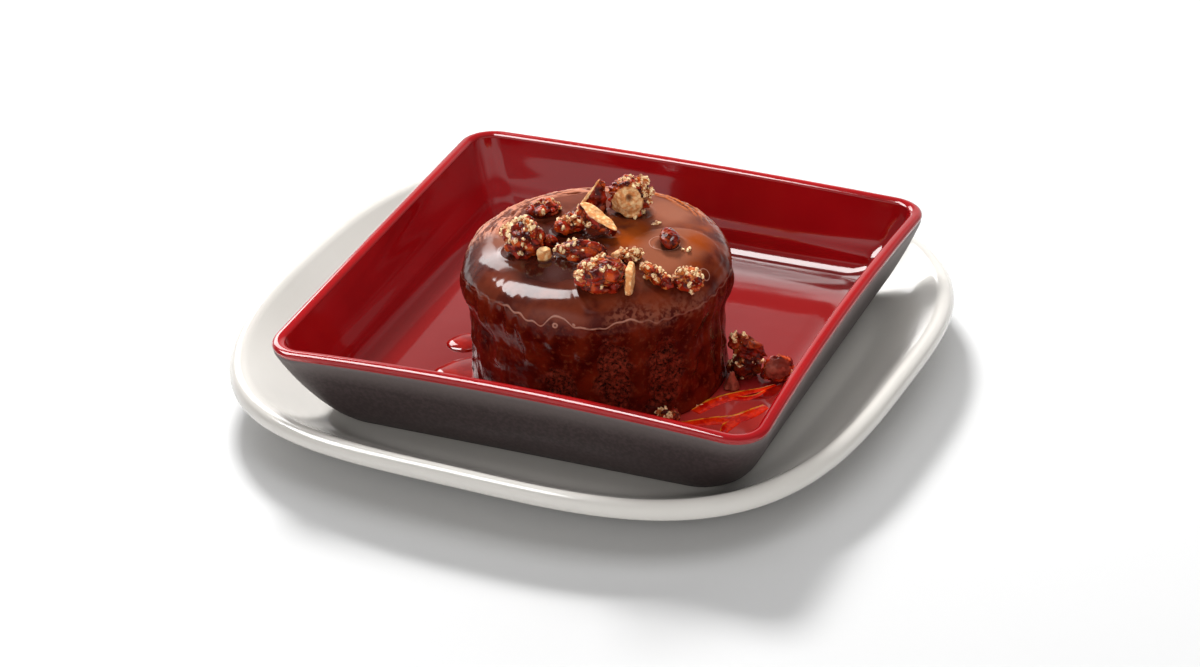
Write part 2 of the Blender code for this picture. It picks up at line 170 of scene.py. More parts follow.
class Finish(Graph):
    """A material: constant values go on its shader, and what varies is fed to it."""

    def __init__(self, name, constants):
        self.material = bpy.data.materials.new(name)
        self.material.use_nodes = True
        super().__init__(self.material.node_tree)
        self.shader = self.tree.nodes["Principled BSDF"]
        for key, value in constants.items():
            self.shader.inputs[key].default_value = value
        self.place = self.node("ShaderNodeTexCoord", output="Object")

    def feed(self, key, value):
        self.tree.links.new(value.socket, self.shader.inputs[key])

    def mix(self, share, first, second):
        return self.node("ShaderNodeMix", {"data_type": "RGBA"},
                         {0: share, 6: first, 7: second}, output=2)

    def cloud(self, size, detail=3.0, rough=0.5):
        """Soft noise between 0 and 1 whose blotches are about this many metres across."""
        return self.node("ShaderNodeTexNoise", inputs={
            "Vector": self.place, "Scale": 1 / size, "Detail": detail, "Roughness": rough})

    def away_from(self, spot):
        """The distance from a place, in metres."""
        return self.node("ShaderNodeVectorMath", {"operation": "DISTANCE"},
                         {0: self.place, 1: spot}, output=1)

    def painted(self, name):
        """A number that the mesh carries at each point."""
        return self.node("ShaderNodeAttribute", {"attribute_name": name}, output="Fac")

    def bump(self, height, distance, strength=1.0):
        self.feed("Normal", self.node("ShaderNodeBump", inputs={
            "Strength": strength, "Distance": distance, "Height": height}))


def smooth_line(points, steps):
    """A smooth line through points of any number of dimensions, as a Catmull-Rom curve."""
    points = [Vector(point) for point in points]
    line = []
    for index in range(len(points) - 1):
        first, second = points[index], points[index + 1]
        before = points[max(index - 1, 0)]
        after = points[min(index + 2, len(points) - 1)]
        for step in range(steps):
            t = step / steps
            line.append(0.5 * (2 * first + (second - before) * t
                               + (2 * before - 5 * first + 4 * second - after) * t ** 2
                               + (3 * first - before - 3 * second + after) * t ** 3))
    line.append(points[-1])
    return line


def geometry_rule(name, inputs):
    """An empty Geometry Nodes tree with named inputs, and those inputs as values."""
    tree = bpy.data.node_groups.new(name, "GeometryNodeTree")
    tree.interface.new_socket("Geometry", in_out="INPUT", socket_type="NodeSocketGeometry")
    for label, kind in inputs.items():
        tree.interface.new_socket(label, in_out="INPUT", socket_type="NodeSocket" + kind)
    tree.interface.new_socket("Geometry", in_out="OUTPUT", socket_type="NodeSocketGeometry")
    graph = Graph(tree)
    entry = tree.nodes.new("NodeGroupInput")
    given = {socket.name: Value(graph, socket) for socket in entry.outputs if socket.name}
    return graph, given


def end_rule(graph, shape, given, smooth=True):
    """Makes the result plain geometry in its own material and ends the tree."""
    shape = graph.node("GeometryNodeRealizeInstances", inputs={0: shape})
    shape = graph.node("GeometryNodeSetShadeSmooth", inputs={"Geometry": shape,
                                                             "Shade Smooth": smooth})
    shape = graph.node("GeometryNodeSetMaterial", inputs={0: shape, "Material": given["Finish"]})
    end = graph.tree.nodes.new("NodeGroupOutput")
    graph.tree.links.new(shape.socket, end.inputs[0])


def grown(name, base, graph, values):
    """Runs a tree on a base mesh and gives the result as a plain mesh object."""
    holder = bpy.data.objects.new(name + "_base", base)
    bpy.context.scene.collection.objects.link(holder)
    modifier = holder.modifiers.new("Rule", "NODES")
    modifier.node_group = graph.tree
    for item in graph.tree.interface.items_tree:
        if item.name in values:
            modifier[item.identifier] = values[item.name]
    evaluated = holder.evaluated_get(bpy.context.evaluated_depsgraph_get())
    mesh = bpy.data.meshes.new_from_object(evaluated)
    bpy.data.objects.remove(holder)
    piece = bpy.data.objects.new(name, mesh)
    bpy.context.scene.collection.objects.link(piece)
    return piece


def polyline(name, points):
    """A mesh of loose edges through points."""
    mesh = bpy.data.meshes.new(name)
    mesh.from_pydata([tuple(point) for point in points],
                     [(index, index + 1) for index in range(len(points) - 1)], [])
    return mesh


def plate_profile():
    """Half width and height from under the plate, round its lip and into the well."""
    foot_inner = PLATE_FOOT_HALF - PLATE_FOOT_WIDTH
    outline = [(foot_inner - PLATE_FOOT_SLOPE, PLATE_BASE_Z), (foot_inner, 0.0),
               (PLATE_FOOT_HALF, 0.0), (PLATE_FOOT_HALF + PLATE_FOOT_SLOPE, PLATE_BASE_Z),
               *PLATE_BELLY]
    for degrees in PLATE_LIP_ANGLES:
        angle = math.radians(degrees)
        outline.append((PLATE_LIP_HALF + PLATE_LIP_RADIUS * math.cos(angle),
                        PLATE_LIP_Z + PLATE_LIP_RADIUS * math.sin(angle)))
    lip_inner, lip_top = outline[-1]
    for share in PLATE_RIM_SHARES:
        rise = max(0.0, 1 - share) ** PLATE_RIM_CURVE
        outline.append((lip_inner + (PLATE_WELL_HALF - lip_inner) * share,
                        PLATE_WELL_Z + (lip_top - PLATE_WELL_Z) * rise))
    line = [(half, 0.0, max(0.0, height)) for half, height in smooth_line(outline, PLATE_BETWEEN)]
    return [(0.0, 0.0, PLATE_BASE_Z), *line, (0.0, 0.0, PLATE_WELL_Z)]


plate_rule, given = geometry_rule("plate_rule", {
    "Around": "Int", "Along": "Int", "Rim exponent": "Float", "Well exponent": "Float",
    "Corner droop": "Float", "Finish": "Material"})
profile = plate_rule.node("GeometryNodeMeshToCurve", inputs={"Mesh": given["Geometry"]})
sheet = plate_rule.node("GeometryNodeMeshGrid", inputs={
    "Size X": 1.0, "Size Y": 1.0, "Vertices X": given["Around"], "Vertices Y": given["Along"]})
spot = plate_rule.parts(plate_rule.node("GeometryNodeInputPosition"))
turn = (spot + 0.5) * (2 * math.pi)
sampled = plate_rule.node("GeometryNodeSampleCurve", {"mode": "FACTOR"},
                          {"Curves": profile, "Factor": spot.of("Y") + 0.5}, output="Position")
level = plate_rule.parts(sampled)
height = level.of("Z")
rise = ((height - PLATE_WELL_Z) / (PLATE_LIP_Z - PLATE_WELL_Z)).clamped()
exponent = given["Well exponent"] + (given["Rim exponent"] - given["Well exponent"]) * rise
along = turn.maths("COSINE", turn)
across = turn.maths("SINE", turn)
reach = level / (abs(along) ** exponent + abs(across) ** exponent) ** (1 / exponent)
corner = level * level * 2 ** (-2 / exponent) + WELD ** 2
droop = given["Corner droop"] * rise * (reach * along * reach * across / corner) ** 2
place = plate_rule.joined(reach * along, reach * across, height - droop)
shape = plate_rule.node("GeometryNodeSetPosition", inputs={"Geometry": sheet, "Position": place})
shape = plate_rule.node("GeometryNodeMergeByDistance", inputs={"Geometry": shape, "Distance": WELD})
shape = plate_rule.node("GeometryNodeFlipFaces", inputs={0: shape})
end_rule(plate_rule, shape, given)

porcelain = Finish("porcelain_glaze", {"Roughness": 0.13, "IOR": 1.5, "Coat Weight": 0.35,
                                       "Coat Roughness": 0.04})
pooled = porcelain.cloud(0.035, detail=2.0)
porcelain.feed("Base Color", porcelain.mix(pooled, rgb(210, 206, 199), rgb(218, 214, 208)))
porcelain.feed("Roughness", porcelain.cloud(0.011) * 0.10 + 0.10)
porcelain.bump(porcelain.cloud(0.016, detail=1.0), 0.00035, strength=0.25)

plate = grown("plate_glazed", polyline("plate_profile", plate_profile()), plate_rule, {
    "Around": PLATE_AROUND, "Along": PLATE_ALONG, "Rim exponent": PLATE_RIM_EXPONENT,
    "Well exponent": PLATE_WELL_EXPONENT, "Corner droop": PLATE_CORNER_DROOP,
    "Finish": porcelain.material})
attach(plate, "root")
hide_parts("plate")


# The dish. Square stoneware with pinched sides, dipped in a deep red glaze that ends on the
# rim's outer edge; outside it keeps a satin brown-grey. It stands a little askew on the plate.

DISH_CENTRE = (0.0045, -0.0019)
DISH_TURN = math.radians(2.64)
DISH_HALF = 0.0800
DISH_BOTTOM_Z = 0.00735
DISH_FLOOR_Z = 0.0123
DISH_RIM_EDGE_Z = 0.0358
DISH_RIM_TOP_Z = 0.0373
DISH_RIM_WIDTH = 0.0041
DISH_BAND_Z = 0.0330
DISH_BAND_HALF = 0.0794
DISH_LEAN = 0.0092
DISH_ROUNDING = 0.0065
DISH_RIM_CORNER = 0.0116
DISH_BASE_CORNER = 0.0130
DISH_BASE_CHAMFER = 0.0030
DISH_FLOOR_HALF = 0.0606
DISH_FILLET = 0.0080
DISH_SIDE_PINCH = 0.0014
DISH_CORNER_DROOP = 0.0019
DISH_WALL_SHARES = (0.0, 0.035, 0.12, 0.27, 0.47, 0.72, 1.0)
DISH_RIM_ANGLES = range(0, 181, 12)
DISH_INNER_HEIGHTS = (0.0320, 0.0270, 0.0225)
DISH_FILLET_ANGLES = (-12, -38, -64, -90)
DISH_CORNER_STEPS = 12
DISH_SIDE_STEPS = 22
DISH_BETWEEN = 4
GLAZE_EDGE_Z = 0.0348
GLAZE_EDGE_SOFTNESS = 0.0002
GLAZE_THICKNESS = 0.0003
# Middle of the painted light on the near right corner of the dish's floor.
LIT_CORNER_MIDDLE = (0.064, -0.040, DISH_FLOOR_Z)


def rounded_square(half, corner):
    """Points round a square with round corners, in the dish's own frame."""
    points = []
    inner = half - corner
    for quarter in range(4):
        turn = Matrix.Rotation(math.pi / 2 * quarter, 2)
        for step in range(DISH_CORNER_STEPS + 1):
            angle = math.pi / 2 * step / DISH_CORNER_STEPS
            points.append(turn @ Vector((inner + corner * math.cos(angle),
                                         inner + corner * math.sin(angle))))
        for step in range(1, DISH_SIDE_STEPS):
            points.append(turn @ Vector((inner * (1 - 2 * step / DISH_SIDE_STEPS), half)))
    return points


def dish_ring(half, corner, height):
    """One ring of the dish; its sides pinch in and its corners droop more towards the rim."""
    rise = max(0.0, (height - DISH_FLOOR_Z) / (DISH_RIM_EDGE_Z - DISH_FLOOR_Z))
    place = Matrix.Rotation(DISH_TURN, 2)
    ring = []
    for point in rounded_square(half, corner):
        x, y = point
        shorter = min(abs(x), abs(y)) / half
        pinch = DISH_SIDE_PINCH * rise * (1 - shorter ** 2)
        if abs(x) > abs(y):
            x -= math.copysign(pinch, x)
        else:
            y -= math.copysign(pinch, y)
        droop = DISH_CORNER_DROOP * rise * (point.x * point.y / half ** 2) ** 2
        spot = place @ Vector((x, y)) + Vector(DISH_CENTRE)
        ring.append((spot.x, spot.y, height - droop))
    return ring


def dish_wall_half(height):
    """Half the dish's outer width at a height: an upright band, then a wall that curls under."""
    depth = max(0.0, (DISH_BAND_Z - height) / (DISH_BAND_Z - PLATE_WELL_Z))
    return DISH_BAND_HALF - DISH_LEAN * depth - DISH_ROUNDING * (1 - math.sqrt(1 - depth ** 2))


def dish_sections():
    """Half width, corner radius, height and share of red glaze, from the base to the floor."""
    base_half = dish_wall_half(DISH_BOTTOM_Z)
    sections = [(base_half - DISH_BASE_CHAMFER, DISH_BASE_CORNER - DISH_BASE_CHAMFER,
                 DISH_BOTTOM_Z, 0.0)]
    for share in DISH_WALL_SHARES:
        height = DISH_BOTTOM_Z + share * (DISH_BAND_Z - DISH_BOTTOM_Z)
        corner = DISH_BASE_CORNER + share * (DISH_RIM_CORNER - DISH_BASE_CORNER)
        sections.append((dish_wall_half(height), corner, height, 0.0))
    for side, glazed in ((-1, 0.0), (1, 1.0)):
        sections.append((DISH_BAND_HALF + GLAZE_THICKNESS, DISH_RIM_CORNER,
                         GLAZE_EDGE_Z + side * GLAZE_EDGE_SOFTNESS, glazed))
    rim_middle = DISH_HALF - DISH_RIM_WIDTH / 2
    for degrees in DISH_RIM_ANGLES:
        angle = math.radians(degrees)
        out = DISH_RIM_WIDTH / 2 * math.cos(angle)
        sections.append((rim_middle + out, DISH_RIM_CORNER - DISH_RIM_WIDTH / 2 + out,
                         DISH_RIM_EDGE_Z + (DISH_RIM_TOP_Z - DISH_RIM_EDGE_Z) * math.sin(angle),
                         1.0))
    inner_corner = DISH_RIM_CORNER - DISH_RIM_WIDTH
    for height in DISH_INNER_HEIGHTS:
        sections.append((dish_wall_half(height) - DISH_RIM_WIDTH, inner_corner, height, 1.0))
    for degrees in DISH_FILLET_ANGLES:
        angle = math.radians(degrees)
        sections.append((DISH_FLOOR_HALF + DISH_FILLET * math.cos(angle), inner_corner,
                         DISH_FLOOR_Z + DISH_FILLET * (1 + math.sin(angle)), 1.0))
    sections.append((DISH_FLOOR_HALF * 0.9, inner_corner, DISH_FLOOR_Z, 1.0))
    return smooth_line(sections, DISH_BETWEEN)


def add_mesh(name, shape, attributes, material, closed=True):
    """Links an edit mesh as a smooth piece that carries numbers at its points."""
    if closed:
        bmesh.ops.recalc_face_normals(shape, faces=shape.faces)
    mesh = bpy.data.meshes.new(name)
    shape.to_mesh(mesh)
    shape.free()
    for label, values in attributes.items():
        layer = mesh.attributes.new(label, "FLOAT", "POINT")
        layer.data.foreach_set("value", values)
    mesh.materials.append(material)
    mesh.shade_smooth()
    piece = bpy.data.objects.new(name, mesh)
    bpy.context.scene.collection.objects.link(piece)
    return piece


def skin(rings):
    """An edit mesh stretched over closed rings that have the same number of points."""
    shape = bmesh.new()
    rows = [[shape.verts.new(point) for point in ring] for ring in rings]
    count = len(rows[0])
    for row, following in zip(rows, rows[1:]):
        for index in range(count):
            after = (index + 1) % count
            shape.faces.new((row[index], row[after], following[after], following[index]))
    return shape, rows


stoneware = Finish("dish_glaze", {"IOR": 1.5, "Coat Roughness": 0.05})
red_share = stoneware.painted("red")
wavy = stoneware.cloud(0.045, detail=2.0)
depth = stoneware.parts(stoneware.place).of("Z")
rim_light = depth.step(DISH_RIM_EDGE_Z - 0.0004, DISH_RIM_TOP_Z)
red = stoneware.mix(wavy.step(0.3, 0.7), rgb(150, 10, 16), rgb(166, 16, 22))
# The floor is painted a paler, greyer red: a painted reflection of the studio haze on the lit
# floor.
red = stoneware.mix((1 - depth.step(DISH_FLOOR_Z + 0.0002, DISH_FLOOR_Z + 0.0030)) * 0.75, red,
                    rgb(124, 32, 31))
# The floor's near right corner is painted a paler pink: painted light where that corner is lit.
lit_corner = 1 - stoneware.away_from(LIT_CORNER_MIDDLE).step(0.014, 0.034)
red = stoneware.mix(lit_corner * 0.8, red, rgb(206, 66, 60))
# The rim's top is painted a brighter red: painted light on the top of the rim.
red = stoneware.mix(rim_light * 0.4, red, rgb(170, 20, 20))
grain = stoneware.cloud(0.0012, detail=2.0)
clay = stoneware.mix(grain.step(0.35, 0.7), rgb(54, 42, 42), rgb(70, 57, 57))
# The clay is painted lighter towards the rim: painted light on the upper part of the outside wall.
below_rim = depth.step(0.026, DISH_BAND_Z + 0.001)
clay = stoneware.mix(below_rim * 0.75, clay, rgb(104, 93, 91))
stoneware.feed("Base Color", stoneware.mix(red_share, clay, red))
stoneware.feed("Roughness", (1 - red_share) * 0.42 + stoneware.cloud(0.02) * 0.05 + 0.06)
stoneware.feed("Coat Weight", red_share * 0.6)
stoneware.bump(stoneware.cloud(0.014, detail=1.5), 0.0004, strength=0.16)

sections = dish_sections()
shape, rows = skin([dish_ring(half, corner, height) for half, corner, height, _ in sections])
for row in (rows[0], rows[-1]):
    shape.faces.new(row)
reds = [min(1.0, max(0.0, section[3])) for section in sections for _ in rows[0]]
dish = add_mesh("dish_glazed", shape, {"red": reds}, stoneware.material)
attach(dish, "root")
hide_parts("dish")


# The pudding. A steamed date sponge turned out of its basin, with toffee sauce poured over it:
# a thick coat with a wavy lower edge on the shoulder, drips below, and bare sponge at the foot.

PUDDING_CENTRE = (0.0095, -0.0180)
PUDDING_BASE_Z = 0.01265
PUDDING_HEIGHT = 0.0462
PUDDING_SHOULDER_RADIUS = 0.0122
PUDDING_SHOULDER_HALF = 0.0289
PUDDING_SHOULDER_Z = 0.0324
PUDDING_WAIST = 0.0389
PUDDING_UNDERCUT = 0.0100
PUDDING_LEAN = 0.02
PUDDING_AROUND = 520
PUDDING_TOP_STEPS = 60
PUDDING_TOP_ROUNDNESS = 2.7
PUDDING_SHOULDER_START = 78
PUDDING_SHOULDER_STEPS = 34
PUDDING_UNDERCUT_STEPS = 28
PUDDING_SIDE_STEPS = 50
PUDDING_FOOT_FLARE = 0.0008
PUDDING_FOOT_HEIGHT = 0.006
SAUCE_EDGE = ((-180, 37.2), (-150, 35.4), (-125, 37.0), (-108, 37.9), (-100, 36.9), (-90, 35.2),
              (-82, 38.6), (-74, 35.8), (-64, 35.2), (-53, 37.1), (-38, 35.1), (-23, 34.9),
              (-9, 35.0), (30, 36.6), (70, 34.8), (110, 36.8), (150, 35.2), (180, 37.2))
DRIPS = ((-152, 24, 3.4), (-139, 14, 2.6), (-124, 27, 2.4), (-116, 15, 2.8), (-107, 28, 1.8),
         (-98, 20, 2.6), (-84, 29, 2.0), (-71, 24, 2.8), (-47, 9, 3.6), (-40, 24, 2.0),
         (-19, 12, 3.2), (-6, 2, 3.0), (4, 4, 2.4), (12, 10, 3.4), (38, 22, 3.0), (74, 8, 3.6),
         (96, 20, 3.0), (135, 6, 3.8), (158, 18, 3.0))
CRAGS = ((-82, 14.5, 9, 6), (-58, 17, 9, 14), (-34, 14, 10, 14), (55, 14, 12, 11),
         (118, 18, 11, 10), (176, 12, 9, 8))
# Patches on the top: pools of sauce painted paler, a painted reflection; patches painted dark, a
# painted dark reflection; and amber patches.
TOP_PATCHES = (("pooled_sheen", 36.0, -19.0, 13.8, 0.5), ("pooled_sheen", -21.0, -27.0, 10.0, 4.0),
               ("pooled_sheen", 24.0, 4.0, 9.0, 5.0), ("pooled_sheen", 39.0, -43.0, 7.0, 5.0),
               ("deep", 6.0, -42.0, 10.0, 3.0), ("deep", 3.0, -26.0, 15.0, 4.0),
               ("amber", 15.0, -17.0, 10.0, 4.0), ("amber", 44.0, -6.0, 10.0, 4.0),
               ("amber", 49.0, -22.0, 7.0, 3.0))
BEADED_ZONE = (-118, -104, -52, -42)
FROTHY_ZONE = (-66, -56, -20, -8)
WRINKLED_ZONE = (34, 62, 192, 206)
WET_MIDDLE = -106
WET_REACH = (27, 46)
MILLIMETRE = 0.001


def smooth_step(low, high, value):
    share = min(1.0, max(0.0, (value - low) / (high - low)))
    return share * share * (3 - 2 * share)


def angle_between(first, second):
    return (first - second + 180) % 360 - 180


def zone(degrees, start, full, fading, end):
    """1 between two angles, with a soft change to 0 on either side."""
    return smooth_step(start, full, degrees) * (1 - smooth_step(fading, end, degrees))


def edge_height(degrees):
    """How high the sauce coat's lower edge runs at an angle, in millimetres above the base."""
    for (start, low), (end, high) in zip(SAUCE_EDGE, SAUCE_EDGE[1:]):
        if start <= degrees <= end:
            return low + (high - low) * smooth_step(start, end, degrees)
    return SAUCE_EDGE[0][1]


def pudding_rows():
    """The pudding's radius and height from the middle of its top down to its base."""
    top_angle = math.radians(PUDDING_SHOULDER_START)
    edge = PUDDING_SHOULDER_HALF + PUDDING_SHOULDER_RADIUS * math.cos(top_angle)
    edge_z = PUDDING_SHOULDER_Z + PUDDING_SHOULDER_RADIUS * math.sin(top_angle)
    rows = []
    for step in range(1, PUDDING_TOP_STEPS):
        share = step / PUDDING_TOP_STEPS
        fall = (PUDDING_HEIGHT - edge_z) * share ** PUDDING_TOP_ROUNDNESS
        rows.append((edge * share, PUDDING_HEIGHT - fall))
    for step in range(PUDDING_SHOULDER_STEPS):
        angle = top_angle * (1 - step / PUDDING_SHOULDER_STEPS)
        rows.append((PUDDING_SHOULDER_HALF + PUDDING_SHOULDER_RADIUS * math.cos(angle),
                     PUDDING_SHOULDER_Z + PUDDING_SHOULDER_RADIUS * math.sin(angle)))
    widest = PUDDING_SHOULDER_HALF + PUDDING_SHOULDER_RADIUS
    for step in range(PUDDING_UNDERCUT_STEPS):
        share = step / PUDDING_UNDERCUT_STEPS
        ease = 0.5 - 0.5 * math.cos(math.pi * share)
        rows.append((widest + (PUDDING_WAIST - widest) * ease,
                     PUDDING_SHOULDER_Z - PUDDING_UNDERCUT * share))
    side_top = PUDDING_SHOULDER_Z - PUDDING_UNDERCUT
    for step in range(PUDDING_SIDE_STEPS):
        height = side_top * (1 - step / (PUDDING_SIDE_STEPS - 1))
        flare = PUDDING_FOOT_FLARE * max(0.0, 1 - height / PUDDING_FOOT_HEIGHT) ** 2
        rows.append((PUDDING_WAIST + flare, height))
    return rows


def bare_share(degrees, height):
    """1 where the sauce has run off the sponge, for a height in millimetres."""
    bare = 0.0
    for middle, low, half_width, half_height in CRAGS:
        across = angle_between(degrees, middle) / half_width
        up = (height - low) / half_height
        bare = max(bare, 1 - smooth_step(0.55, 1.15, math.hypot(across, up)))
    return bare


def drip_share(degrees, height, above):
    """How much of a drip hangs here, below the sauce coat's edge."""
    drips = 0.0
    for middle, end, width in DRIPS:
        wander = 1.3 * math.sin(height * 0.25 + middle)
        across = angle_between(degrees, middle + wander) / width
        bulb = 0.5 * math.exp(-((height - end - 2) / 2.2) ** 2)
        drips = max(drips, math.exp(-across ** 2) * smooth_step(end - 2, end + 2, height)
                    * (0.8 + bulb))
    return drips * (1 - above)


def nut_footprints():
    """Middle and half widths, in millimetres, of each pecan piece that lies on the top."""
    footprints = []
    for name in frame["nodes"]:
        low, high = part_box(name)
        if name.startswith("pecan_") and low[2] > 0.05:
            footprints.append(((low[0] + high[0]) * 500, (low[1] + high[1]) * 500,
                               (high[0] - low[0]) * 500, (high[1] - low[1]) * 500))
    return footprints


FOOTPRINTS = nut_footprints()


def top_marks(x, y):
    """What lies on the top at a place in millimetres: sauce patches with painted sheen and painted
    dark, amber, and rims round nuts.
    """
    wander = noise.noise(Vector((x, y, 0.0)) / 6.0) * 2.4
    marks = {}
    for label, middle_x, middle_y, radius, softness in TOP_PATCHES:
        away = math.hypot(x - middle_x, y - middle_y) + wander * softness / 4
        marks[label] = max(marks.get(label, 0.0),
                           1 - smooth_step(radius - softness, radius + softness, away))
    rims = 0.0
    shade = 0.0
    for middle_x, middle_y, half_x, half_y in FOOTPRINTS:
        away = (math.hypot((x - middle_x) / half_x, (y - middle_y) / half_y) - 1)
        away *= min(half_x, half_y)
        rims = max(rims, math.exp(-((away - 0.5) / 0.55) ** 2))
        # The sauce is painted darker close round each nut: painted shade.
        shade = max(shade, 1 - smooth_step(-0.5, 1.6, away))
    marks["rims"] = rims
    marks["deep"] = max(marks["deep"], shade * 0.6)
    return marks


def pudding_point(degrees, radius, height, out, up):
    """A point of the coated pudding, and the numbers that its finish needs there."""
    angle = math.radians(degrees)
    flat = Vector((radius * math.cos(angle), radius * math.sin(angle), height))
    tall = height / MILLIMETRE
    edge = edge_height(degrees) + 0.5 * noise.noise(Vector((degrees / 4.1, 0.0, 7.0)))
    above = smooth_step(edge - 0.7, edge + 0.7, tall)
    on_side = 1 - smooth_step(40.0, 44.5, tall)
    bare = bare_share(degrees, tall)
    bare = smooth_step(0.20, 0.80, bare + 0.9 * noise.noise(flat / 0.0048)
                       + 0.5 * noise.noise(flat / 0.0016)) * float(bare > 0)
    drips = drip_share(degrees, tall, above) * (1 - bare)
    beaded = max(zone(degrees, *BEADED_ZONE), 0.3)
    froth = math.exp(-((tall - edge - 1.6) / 2.8) ** 2) * zone(degrees, *FROTHY_ZONE)
    round_back = degrees % 360
    inner = 27.0 + 3.0 * (1 - smooth_step(60, 110, round_back))
    wrinkled = zone(round_back, *WRINKLED_ZONE) * smooth_step(36, 39, tall)
    wrinkled *= smooth_step(inner, inner + 3, radius / MILLIMETRE)
    wet = 1 - smooth_step(*WET_REACH, abs(angle_between(degrees, WET_MIDDLE)))
    marks = {"pooled_sheen": 0.0, "deep": 0.0, "amber": 0.0, "rims": 0.0}
    if tall > 40:
        marks = top_marks((flat.x + PUDDING_CENTRE[0]) / MILLIMETRE,
                          (flat.y + PUDDING_CENTRE[1]) / MILLIMETRE)

    relief = 0.45 * above + 0.8 * drips + 0.5 * noise.noise(flat / 0.016)
    relief += 0.55 * noise.noise(flat / 0.0075) * on_side * (1 - 0.6 * above)
    relief += 0.14 * noise.noise(flat / 0.0024) * on_side * (1 - above)
    streak = Vector((degrees * 0.30, tall * 0.05, 0.0))
    relief += 0.20 * noise.noise(streak) * on_side * (1 - bare) * (1 - 0.5 * above)
    inward = (radius / MILLIMETRE - tall) * 0.95 + 1.7 * noise.noise(flat / 0.007)
    crinkle = noise.noise(Vector((degrees * 0.09, inward, 3.0)))
    relief += 0.60 * crinkle * wrinkled
    relief += 0.16 * noise.noise(flat / 0.0011) * wrinkled
    relief += 0.20 * noise.noise(flat / 0.0012) * froth
    relief += 0.16 * marks["pooled_sheen"] + 0.30 * marks["rims"]
    pits = noise.noise(flat / 0.0036) + 0.7 * noise.noise(flat / 0.0015)
    pits += 0.45 * noise.noise(flat / 0.0007)
    relief -= bare * (0.55 + 1.5 * pits)
    relief *= smooth_step(0.0, 1.5, tall) * smooth_step(0.0, 4.0, radius / MILLIMETRE)
    flat += Vector((math.cos(angle) * out, math.sin(angle) * out, up)) * relief * MILLIMETRE
    flat.z += PUDDING_LEAN * flat.x * flat.z / PUDDING_HEIGHT
    flat += Vector((*PUDDING_CENTRE, PUDDING_BASE_Z))
    return flat, {"bare": bare, "drips": drips, "froth": froth, "wrinkled": wrinkled,
                  "tall": tall, "wet": wet, "crinkle": crinkle + 0.5,
                  "beaded": beaded, "from_edge": tall - edge + 0.25 * math.sin(degrees * 0.9),
                  "pooled_sheen": marks["pooled_sheen"], "deep": marks["deep"], "amber": marks["amber"]}


def coated_pudding(material):
    """The pudding's skin: its turned outline with every ring roughened by sauce and sponge."""
    outline = pudding_rows()
    rings = []
    numbers = {}
    for index, (radius, height) in enumerate(outline):
        before = outline[max(index - 1, 0)]
        after = outline[min(index + 1, len(outline) - 1)]
        along = Vector((after[0] - before[0], after[1] - before[1])).normalized()
        ring = []
        for step in range(PUDDING_AROUND):
            degrees = 360 * step / PUDDING_AROUND - 180
            point, values = pudding_point(degrees, radius, height, -along.y, along.x)
            ring.append(point)
            for label, value in values.items():
                numbers.setdefault(label, []).append(value)
        rings.append(ring)
    shape, rows = skin(rings)
    crown = shape.verts.new((*PUDDING_CENTRE, PUDDING_BASE_Z + PUDDING_HEIGHT))
    for index, vertex in enumerate(rows[0]):
        shape.faces.new((crown, vertex, rows[0][(index + 1) % PUDDING_AROUND]))
    shape.faces.new(rows[-1])
    for label in numbers:
        numbers[label].append({"tall": PUDDING_HEIGHT / MILLIMETRE, "deep": 0.6}.get(label, 0.0))
    return add_mesh("pudding_coated", shape, numbers, material)


BUBBLES = ((14.5, -58.2, 48.6, 0.9), (5.6, -57.6, 46.2, 0.7), (20.2, -57.9, 49.4, 0.6),
           (47.0, -22.6, 54.4, 1.9), (33.6, -54.6, 49.2, 0.8), (31.6, -17.0, 59.0, 4.6))

toffee = Finish("toffee_sauce", {"IOR": 1.38, "Coat Roughness": 0.09,
                                 "Specular IOR Level": 0.1})
tall = toffee.painted("tall")
bare = toffee.painted("bare")
wrinkled = toffee.painted("wrinkled")
froth = toffee.painted("froth")
blotch = toffee.cloud(0.008, detail=4.0)
fleck = toffee.cloud(0.0015, detail=3.0)
side = toffee.mix(blotch.step(0.36, 0.68), rgb(60, 5, 3), rgb(102, 26, 9))
side = toffee.mix(toffee.painted("drips") * 0.6, side, rgb(98, 28, 10))
side = toffee.mix(fleck.step(0.52, 0.70) * 0.45, side, rgb(122, 56, 34))
shoulder = toffee.mix(blotch.step(0.35, 0.62), rgb(74, 18, 8), rgb(116, 46, 24))
top = toffee.mix(blotch.step(0.3, 0.7), rgb(92, 38, 22), rgb(112, 50, 30))
# Raised pools of sauce are painted paler: a painted reflection.
top = toffee.mix(toffee.painted("pooled_sheen") * 0.8, top, rgb(146, 86, 62))
top = toffee.mix(toffee.painted("amber") * blotch.step(0.3, 0.6), top, rgb(140, 60, 12))
# Dark patches, the crown and the ground round the nuts are painted near black: painted dark
# reflection and painted shade.
top = toffee.mix(toffee.painted("deep") * 0.85, top, rgb(48, 10, 6))
colour = toffee.mix(tall.step(34.8, 37.4), side, shoulder)
colour = toffee.mix(tall.step(41.8, 45.0), colour, top)
rightwards = toffee.parts(toffee.place)
# The coat's left side is painted darker: painted shade.
shaded_left_edge = (1 - rightwards.step(-0.025, -0.012)) * tall.step(34.8, 37.4)
colour = toffee.mix(shaded_left_edge * 0.7, colour, rgb(58, 12, 6))
